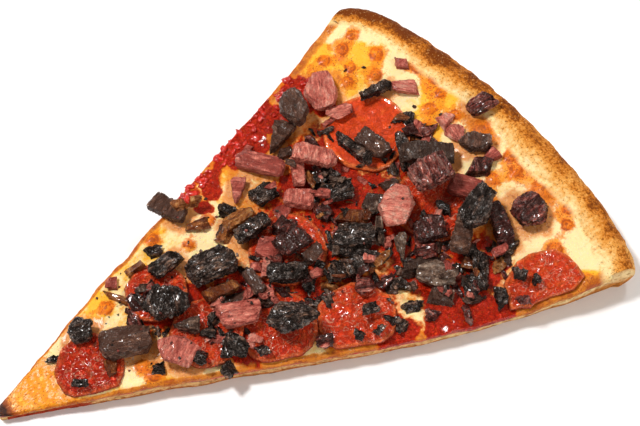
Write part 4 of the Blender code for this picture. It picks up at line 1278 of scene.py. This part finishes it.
class PIZZA_OT_pepperoni(bpy.types.Operator):
    """Lays the slices of pepperoni, wrinkled and glossy"""

    bl_idname = "pizza.pepperoni"
    bl_label = "Pepperoni"

    def execute(self, context):
        looks = context.scene.slice_looks
        paint = pepperoni_paint(looks)
        cheese = ground()
        for number, shape in enumerate(PEPPERONI, 1):
            self.lay(number, shape, paint, cheese, looks)
        return {"FINISHED"}

    def lay(self, number, shape, paint, cheese, looks):
        """Wrinkles one slice over its solid."""
        node = f"pepperoni_{number}"
        x, y, radius, wrinkling, redness = shape
        points, faces = solid_of(node)
        solid = BVHTree.FromPolygons(points.tolist(), faces)
        angles = np.linspace(0.0, 2.0 * math.pi, PEPPERONI_SIDES, endpoint=False)
        reach = np.array([self.reach(solid, x, y, angle, radius) for angle in angles])
        shares = np.sqrt(np.linspace(0.0, 1.0, PEPPERONI_RINGS + 1)[1:])[:, None]
        px = x + shares * reach * np.cos(angles)
        py = y + shares * reach * np.sin(angles)
        places = np.column_stack([px.ravel(), py.ravel()]).tolist()
        found = [self.heights(solid, cheese, *place) for place in places]
        upper, lower, rest = (np.reshape(part, px.shape) for part in zip(*found))
        for _ in range(4):
            upper = self.smoothed(upper)
            lower = self.smoothed(lower)
        rim = np.broadcast_to(shares, px.shape)
        folds, relief = self.wrinkles(px, py, number * 7.3, wrinkling * looks.wrinkle)
        raised = 0.35 * min(1.0, 1.7 * (1.0 - redness))
        relief = relief + raised * np.exp(-(((1.0 - rim) * reach - 0.8) / 0.7) ** 2)
        # The edge settles on what lies under it
        settle = ease((rim - 0.72) / 0.28)
        drop = np.clip(lower - rest - 0.1, 0.0, 1.2) * settle
        lower = lower - drop - 0.25 * settle
        upper = np.maximum(upper + relief - drop * 0.8, lower + 0.4)
        edge_z = (upper[-1] + lower[-1]) / 2.0
        upper[-1] = upper[-1] - 0.15
        shell = Shell()
        marks = {"rim": rim, "crease": np.clip(folds, 0.0, 1.0), "redness": redness}
        upper_grid = shell.add(np.stack([px, py, upper], -1), **marks)
        marks = {"rim": EDGE_MARK, "redness": redness}
        side = np.column_stack([px[-1] + 0.25 * np.cos(angles), py[-1] + 0.25 * np.sin(angles), edge_z])
        edge = shell.add(side, **marks)
        kept = list(range(PEPPERONI_RINGS - 1, 0, -LOWER_EVERY))
        lower_grid = shell.add(np.stack([px, py, lower], -1)[kept], **marks)
        shell.grid(upper_grid, closed=True)
        shell.grid(np.stack([upper_grid[-1], edge, lower_grid[0]]), closed=True)
        shell.grid(lower_grid, closed=True)
        shell.fan(shell.add((x, y, upper[0].mean()), redness=redness), upper_grid[0])
        shell.fan(shell.add((x, y, lower[kept[-1]].mean()), rim=EDGE_MARK), lower_grid[-1])
        shell.dress(f"slice_{node}", paint, "pepperoni", [node])

    def wrinkles(self, x, y, layer, height):
        """Where the folds run, and the relief that they make."""
        folds = np.abs(wave(x, y, 4.5, layer)) + 0.6 * np.abs(wave(x, y, 2.2, layer + 3.0))
        fine = wave(x, y, 1.1, layer + 5.0)
        relief = height * (0.9 - 1.6 * folds + 0.18 * fine)
        return folds, relief + 0.12 * wave(x, y, 3.0, layer + 8.0)

    def reach(self, solid, x, y, angle, radius):
        """How far the solid slice reaches in one direction."""
        distance = radius + PEPPERONI_MARGIN
        while distance > 1.0:
            if landing(solid, x + distance * math.cos(angle), y + distance * math.sin(angle))[0]:
                return distance - OUTLINE_STEP / 2.0
            distance -= OUTLINE_STEP
        return distance

    def heights(self, solid, cheese, x, y):
        """Top and underside of the solid slice at a place, and the top of the cheese."""
        hit = landing(solid, x, y)[0]
        under = solid.ray_cast(Vector((x, y, BELOW)), -DOWN)[0]
        rest = landing(cheese, x, y)[0]
        if hit is None or under is None:
            hit = under = solid.find_nearest(Vector((x, y, 10.0)))[0]
        return hit.z, under.z, rest.z if rest else under.z

    def smoothed(self, values):
        """Averages each height with its neighbours round and across the slice."""
        round_it = (np.roll(values, 1, 1) + np.roll(values, -1, 1) + 2.0 * values) / 4.0
        padded = np.pad(round_it, ((1, 1), (0, 0)), mode="edge")
        return (padded[:-2] + padded[2:] + 2.0 * round_it) / 4.0


def cells(points, sizes, layer):
    """Packed cells: 0 in the cracks between them and 1 inside, and a level from -1 to 1 for each."""
    gaps = []
    levels = []
    for place in (np.asarray(points, float) / sizes + layer).tolist():
        distances, near = noise.voronoi(place)
        gaps.append(distances[1] - distances[0])
        levels.append(noise.noise(near[0] * 3.7 + Vector((9.1, 3.3, 5.7))))
    return np.clip(np.array(gaps) / 0.3, 0.0, 1.0), np.clip(np.array(levels) * 2.0, -1.0, 1.0)


def chipped(points, draw):
    """Takes the corners off a chunk by flat breaks, as torn meat has."""
    centre = points.mean(axis=0)
    points = points - centre
    for _ in range(9):
        plane = np.array([draw.gauss(0.0, 1.0), draw.gauss(0.0, 1.0), draw.gauss(0.25, 0.8)])
        plane = plane / np.linalg.norm(plane)
        reach = points @ plane
        over = np.maximum(reach - np.quantile(reach, draw.uniform(0.93, 0.985)), 0.0)
        points = points - over[:, None] * plane
    return points + centre


def craggy(points, normals, kind, seed):
    """Pushes a chunk's skin in and out along its grain, and says how far, as painted shade for its colour:
    darker in its cracks and grooves, and lighter or darker at random from cell to cell.
    """
    crags = KINDS[kind].crags
    fibres = KINDS[kind].fibres
    centre = points.mean(axis=0)
    axes = np.linalg.svd(points - centre, full_matrices=False)[2]
    draw = random.Random(seed)
    if draw.random() < 0.5:
        axes = axes[[1, 0, 2]]
    grain = (points - centre) @ axes.T + [draw.uniform(-50.0, 50.0) for _ in range(3)]
    crack, level = cells(grain, (5.0, 2.1, 2.1), 0.5)
    strand, _ = cells(grain, (3.4, 0.95, 0.95), 4.5)
    rough = bumps(grain, (2.0, 0.8, 0.8), 3.3)
    crag = 0.75 * level - 0.9 * (1.0 - crack)
    split = np.zeros(len(points))
    for _ in range(3):
        tilt = np.array([draw.uniform(-0.3, 0.3), draw.gauss(0.0, 1.0), draw.gauss(0.0, 1.0)])
        away = (grain - grain.mean(axis=0)) @ (tilt / np.linalg.norm(tilt)) - draw.uniform(-1.5, 1.5)
        split = np.maximum(split, np.exp(-((away / 0.35) ** 2)))
    crag = crag - 0.8 * split
    push = crags * crag - fibres * (1.0 - strand) + 0.6 * fibres * rough
    # Painted shade: darker in the cracks, the splits and the grooves between strands
    shade = crag - 0.7 * (1.0 - strand)
    return points + normals * push[:, None], grain, np.clip(shade, -1.0, 1.0)


class PIZZA_OT_chunks(bpy.types.Operator):
    """Roughens the larger chunks of meat, mushroom and onion"""

    bl_idname = "pizza.chunks"
    bl_label = "Chunks"

    def execute(self, context):
        looks = context.scene.slice_looks
        for seed, (kind, node) in enumerate(CHUNKS, 1):
            self.roughen(node, kind, meat_material(kind, looks), seed)
        return {"FINISHED"}

    def roughen(self, node, kind, material, seed):
        stand = placed("stand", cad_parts[node].data.copy())
        remesh = stand.modifiers.new("voxels", "REMESH")
        remesh.mode = "VOXEL"
        remesh.voxel_size = CHUNK_VOXEL * MM
        bpy.context.view_layer.update()
        evaluated = stand.evaluated_get(bpy.context.evaluated_depsgraph_get())
        mesh = bpy.data.meshes.new_from_object(evaluated)
        bpy.data.objects.remove(stand, do_unlink=True)
        points, faces = skin_of(mesh)
        points = chipped(points, random.Random(seed + CHIP_SEED))
        points, grain, crag = craggy(points, coordinates(mesh, "normal"), kind, seed)
        tone = TONES.get(node, random.Random(seed + TONE_SEED).uniform(-0.7, 0.7))
        marks = {
            "grain": grain,
            "crag": crag,
            "tint": np.full(len(points), tone),
            "fatty": np.full(len(points), float(node == FATTY_CHUNK)),
        }
        dress(f"chunk_{node}", points, faces, material, [node], marks)


class PIZZA_OT_scraps(bpy.types.Operator):
    """Scatters the small scraps, one piece for each kind"""

    bl_idname = "pizza.scraps"
    bl_label = "Scraps"

    def execute(self, context):
        looks = context.scene.slice_looks
        pile = ground()
        draw = random.Random(SCRAP_SEED)
        ball = ball_mesh(4)
        for kind in KINDS:
            every = [laid_scrap(kind, scrap[1:], draw, pile, ball) for scrap in SCRAPS if scrap[0] == kind]
            strew(f"{kind}_scraps", every, ball, meat_material(kind, looks))
        return {"FINISHED"}


def laid_scrap(kind, scrap, draw, pile, ball):
    """One small chunk that lies on the pile."""
    x, y, length, width, height, turn = scrap
    points = boxy(ball[0], draw) * (length / 2.0, width / 2.0, height / 2.0)
    points, grain, crag = craggy(points, ball[0], kind, draw.randrange(10000))
    hit, slope = landing(pile, x, y)
    slope = (slope - DOWN * 1.2).normalized()
    lean = np.array(slope.to_track_quat("Z", "Y").to_matrix())
    spin = lean @ turned(math.radians(turn) - math.atan2(lean[1, 0], lean[0, 0]))
    points = points @ spin.T + np.array(hit) + np.array(slope) * height * 0.32
    tint = np.full(len(points), draw.uniform(-1.0, 1.0))
    return points, {"grain": grain, "crag": crag, "tint": tint}


def turned(angle):
    return np.array(
        ((math.cos(angle), -math.sin(angle), 0.0), (math.sin(angle), math.cos(angle), 0.0), (0.0, 0.0, 1.0))
    )


def ball_mesh(fineness):
    """Points and faces of a ball of radius 1."""
    work = bmesh.new()
    bmesh.ops.create_icosphere(work, subdivisions=fineness, radius=1.0)
    points = np.array([vertex.co for vertex in work.verts])
    faces = [[vertex.index for vertex in face.verts] for face in work.faces]
    work.free()
    return points, faces


def boxy(points, draw):
    """Cuts a ball down by a few planes, as a chopped piece is."""
    points = points.copy() * 1.7
    directions = [(axis, sign) for axis in range(3) for sign in (-1.0, 1.0)]
    for axis, sign in directions + directions[:2]:
        plane = np.array([draw.uniform(-0.45, 0.45) for _ in range(3)])
        plane[axis] = sign
        plane = plane / np.linalg.norm(plane)
        over = np.maximum(points @ plane - draw.uniform(0.72, 0.98), 0.0)
        points = points - over[:, None] * plane
    return points


def strew(name, every, ball, material):
    """Makes one piece of many small ones that were each shaped from the ball."""
    points = np.concatenate([points for points, _ in every])
    size = len(ball[0])
    faces = [[corner + number * size for corner in face] for number in range(len(every)) for face in ball[1]]
    marks = {label: np.concatenate([marks[label] for _, marks in every]) for label in every[0][1]}
    dress(name, points, faces, material, (), marks)


class PIZZA_OT_shards(bpy.types.Operator):
    """Fills the heap with small torn shards, one piece for each kind"""

    bl_idname = "pizza.shards"
    bl_label = "Shards"

    def execute(self, context):
        looks = context.scene.slice_looks
        pile = ground()
        draw = random.Random(SHARD_SEED)
        ball = ball_mesh(3)
        for kind, share in SHARD_SHARES.items():
            every = []
            while len(every) < share * looks.shards:
                x, y, radius = draw.choice(HEAP_SPOTS)
                turn = draw.uniform(0.0, 2.0 * math.pi)
                away = radius * math.sqrt(draw.random())
                place = (x + away * math.cos(turn), y + away * math.sin(turn))
                if self.covered(pile, *place):
                    continue
                length = draw.uniform(2.6, 7.5)
                width = length * draw.uniform(0.3, 0.6)
                sizes = (length, width, width * draw.uniform(0.4, 0.8))
                scrap = (*place, *sizes, draw.uniform(0.0, 180.0))
                every.append(laid_scrap(kind, scrap, draw, pile, ball))
            strew(f"{kind}_shards", every, ball, meat_material(kind, looks))
        return {"FINISHED"}

    def covered(self, pile, x, y):
        """Whether a larger chunk or an open slice of pepperoni lies there."""
        hit = landing(pile, x, y)[0]
        away = min(math.hypot(x - other_x, y - other_y) for other_x, other_y, *_ in PEPPERONI[:OPEN_SLICES])
        return hit is None or hit.z > GAP_LEVEL or away < OPEN_RADIUS


class PIZZA_OT_crumbs(bpy.types.Operator):
    """Scatters crumbs of meat and flakes of pepper"""

    bl_idname = "pizza.crumbs"
    bl_label = "Crumbs"

    def execute(self, context):
        looks = context.scene.slice_looks
        pile = ground()
        draw = random.Random(CRUMB_SEED)
        ball = ball_mesh(2)
        for name, kind in (("meat_crumbs", "bacon"), ("pepper_flakes", "brisket")):
            every = []
            while len(every) < looks.crumbs / 2.0:
                along = draw.uniform(0.2, 0.8)
                across = max(-0.9, min(0.9, draw.gauss(0.0, 0.4)))
                x, y = (float(part) for part in slice_point(along, across))
                length = draw.uniform(0.5, 1.3)
                hit = landing(pile, x, y)[0]
                points = boxy(ball[0], draw) * (length / 2.0, length * 0.36, length * 0.3)
                points = points @ turned(draw.uniform(0.0, 6.3)).T + np.array(hit) + (0.0, 0.0, length * 0.12)
                tint = np.full(len(points), draw.uniform(-1.0, 1.0))
                every.append((points, {"grain": points, "crag": np.zeros(len(points)), "tint": tint}))
            strew(name, every, ball, meat_material(kind, looks))
        return {"FINISHED"}


class PIZZA_OT_drops(bpy.types.Operator):
    """Adds peppercorns, and drops of sauce along the left cut edge"""

    bl_idname = "pizza.drops"
    bl_label = "Drops and peppercorns"

    def execute(self, context):
        looks = context.scene.slice_looks
        pile = ground()
        draw = random.Random(DROP_SEED)
        ball = ball_mesh(2)
        corns = [(x, y, draw.uniform(0.55, 0.95)) for x, y in PEPPERCORNS]
        self.scatter("peppercorns", corns, meat_material("brisket", looks), "brisket", draw, pile, ball, 0.35)
        drops = []
        while len(drops) < looks.drops:
            across = 1.0 - 0.14 * draw.random() ** 1.6
            x, y = (float(part) for part in slice_point(draw.uniform(0.46, 0.8), across))
            drops.append((x, y, 0.5 + 1.4 * draw.random() ** 2.0))
        self.scatter("sauce_drops", drops, sauce_paint(looks), "sauce", draw, pile, ball, 0.0)
        return {"FINISHED"}

    def scatter(self, name, places, material, slot, draw, pile, ball, lift):
        every = []
        for x, y, radius in places:
            hit = landing(pile, x, y)[0]
            if hit is None:
                continue
            uneven = 1.0 + 0.6 * bumps(ball[0], 0.8, draw.uniform(0.0, 90.0))
            size = (radius, radius * draw.uniform(0.5, 0.9), radius * draw.uniform(0.4, 0.7))
            points = ball[0] * uneven[:, None] * size @ turned(draw.uniform(0.0, 6.3)).T
            points = points + np.array(hit) + (0.0, 0.0, radius * lift)
            zero = np.zeros(len(points))
            every.append((points, {"grain": points, "crag": zero, "tint": zero}))
        strew(name, every, ball, material)


class PIZZA_OT_stage(bpy.types.Operator):
    """Sets the floor, the light and the camera"""

    bl_idname = "pizza.stage"
    bl_label = "Stage"

    def execute(self, context):
        looks = context.scene.slice_looks
        self.floor(looks)
        world = bpy.data.worlds.new("studio")
        context.scene.world = world
        world.use_nodes = True
        sky = world.node_tree.nodes["Background"]
        sky.inputs["Color"].default_value = SKY_COLOUR
        sky.inputs["Strength"].default_value = SKY_STRENGTH
        # Plain display colours, so that a pale floor looks pale and red stays red
        context.scene.view_settings.view_transform = "Standard"
        for name, (place, width, power) in LAMPS.items():
            self.light(name, place, width, power)
        self.camera(context, looks)
        return {"FINISHED"}

    def floor(self, looks):
        paint = Paint("pale_floor", Roughness=0.8, Specular_IOR_Level=0.1)
        clouds = paint.noise(paint.place(), 300.0, 2.0)
        grey = tuple(part * 0.97 for part in looks.floor)
        paint.feed(Base_Color=paint.mix(clouds, looks.floor, grey))
        mesh = bpy.data.meshes.new("floor")
        corners = ((-1, -1), (1, -1), (1, 1), (-1, 1))
        mesh.from_pydata([(x * FLOOR_HALF, y * FLOOR_HALF, 0.0) for x, y in corners], [], [(0, 1, 2, 3)])
        mesh.materials.append(paint.material)
        floor = placed("floor", mesh)

    def light(self, name, place, width, power):
        lamp = bpy.data.lights.new(name, "AREA")
        lamp.shape = "DISK"
        lamp.size = width
        lamp.energy = power
        made = placed(name, lamp)
        made.location = place
        made.rotation_euler = (-Vector(place)).to_track_quat("-Z", "Y").to_euler()

    def camera(self, context, looks):
        turn = math.radians(looks.turn)
        rise = math.radians(looks.elevation)
        back = Vector((math.sin(turn) * math.cos(rise), -math.cos(turn) * math.cos(rise), math.sin(rise)))
        target = Vector(TIP + LOOKED_AT) * MM
        lens = bpy.data.cameras.new("camera")
        lens.lens = looks.lens
        lens.clip_start = 0.01
        made = placed("camera", lens)
        made.location = target + back * looks.distance * MM
        made.rotation_euler = back.to_track_quat("Z", "Y").to_euler()
        context.scene.camera = made


PARTS = (
    PIZZA_OT_crust,
    PIZZA_OT_sauce,
    PIZZA_OT_cheese,
    PIZZA_OT_pepperoni,
    PIZZA_OT_chunks,
    PIZZA_OT_scraps,
    PIZZA_OT_shards,
    PIZZA_OT_crumbs,
    PIZZA_OT_drops,
    PIZZA_OT_stage,
)


class PIZZA_PT_panel(bpy.types.Panel):
    """Lists the parts of the slice and what can be changed"""

    bl_idname = "PIZZA_PT_panel"
    bl_label = "Pizza Slice"
    bl_space_type = "VIEW_3D"
    bl_region_type = "UI"
    bl_category = "Pizza"

    def draw(self, context):
        for part in PARTS:
            self.layout.operator(part.bl_idname)
        for name in SliceLooks.__annotations__:
            self.layout.prop(context.scene.slice_looks, name)


CLASSES = (SliceLooks, *PARTS, PIZZA_PT_panel)


def register():
    for item in CLASSES:
        bpy.utils.register_class(item)
    bpy.types.Scene.slice_looks = PointerProperty(type=SliceLooks)


def unregister():
    del bpy.types.Scene.slice_looks
    for item in reversed(CLASSES):
        bpy.utils.unregister_class(item)


def main():
    register()
    for part in PARTS:
        group, action = part.bl_idname.split(".")
        getattr(getattr(bpy.ops, group), action)()


if __name__ == "__main__":
    main()
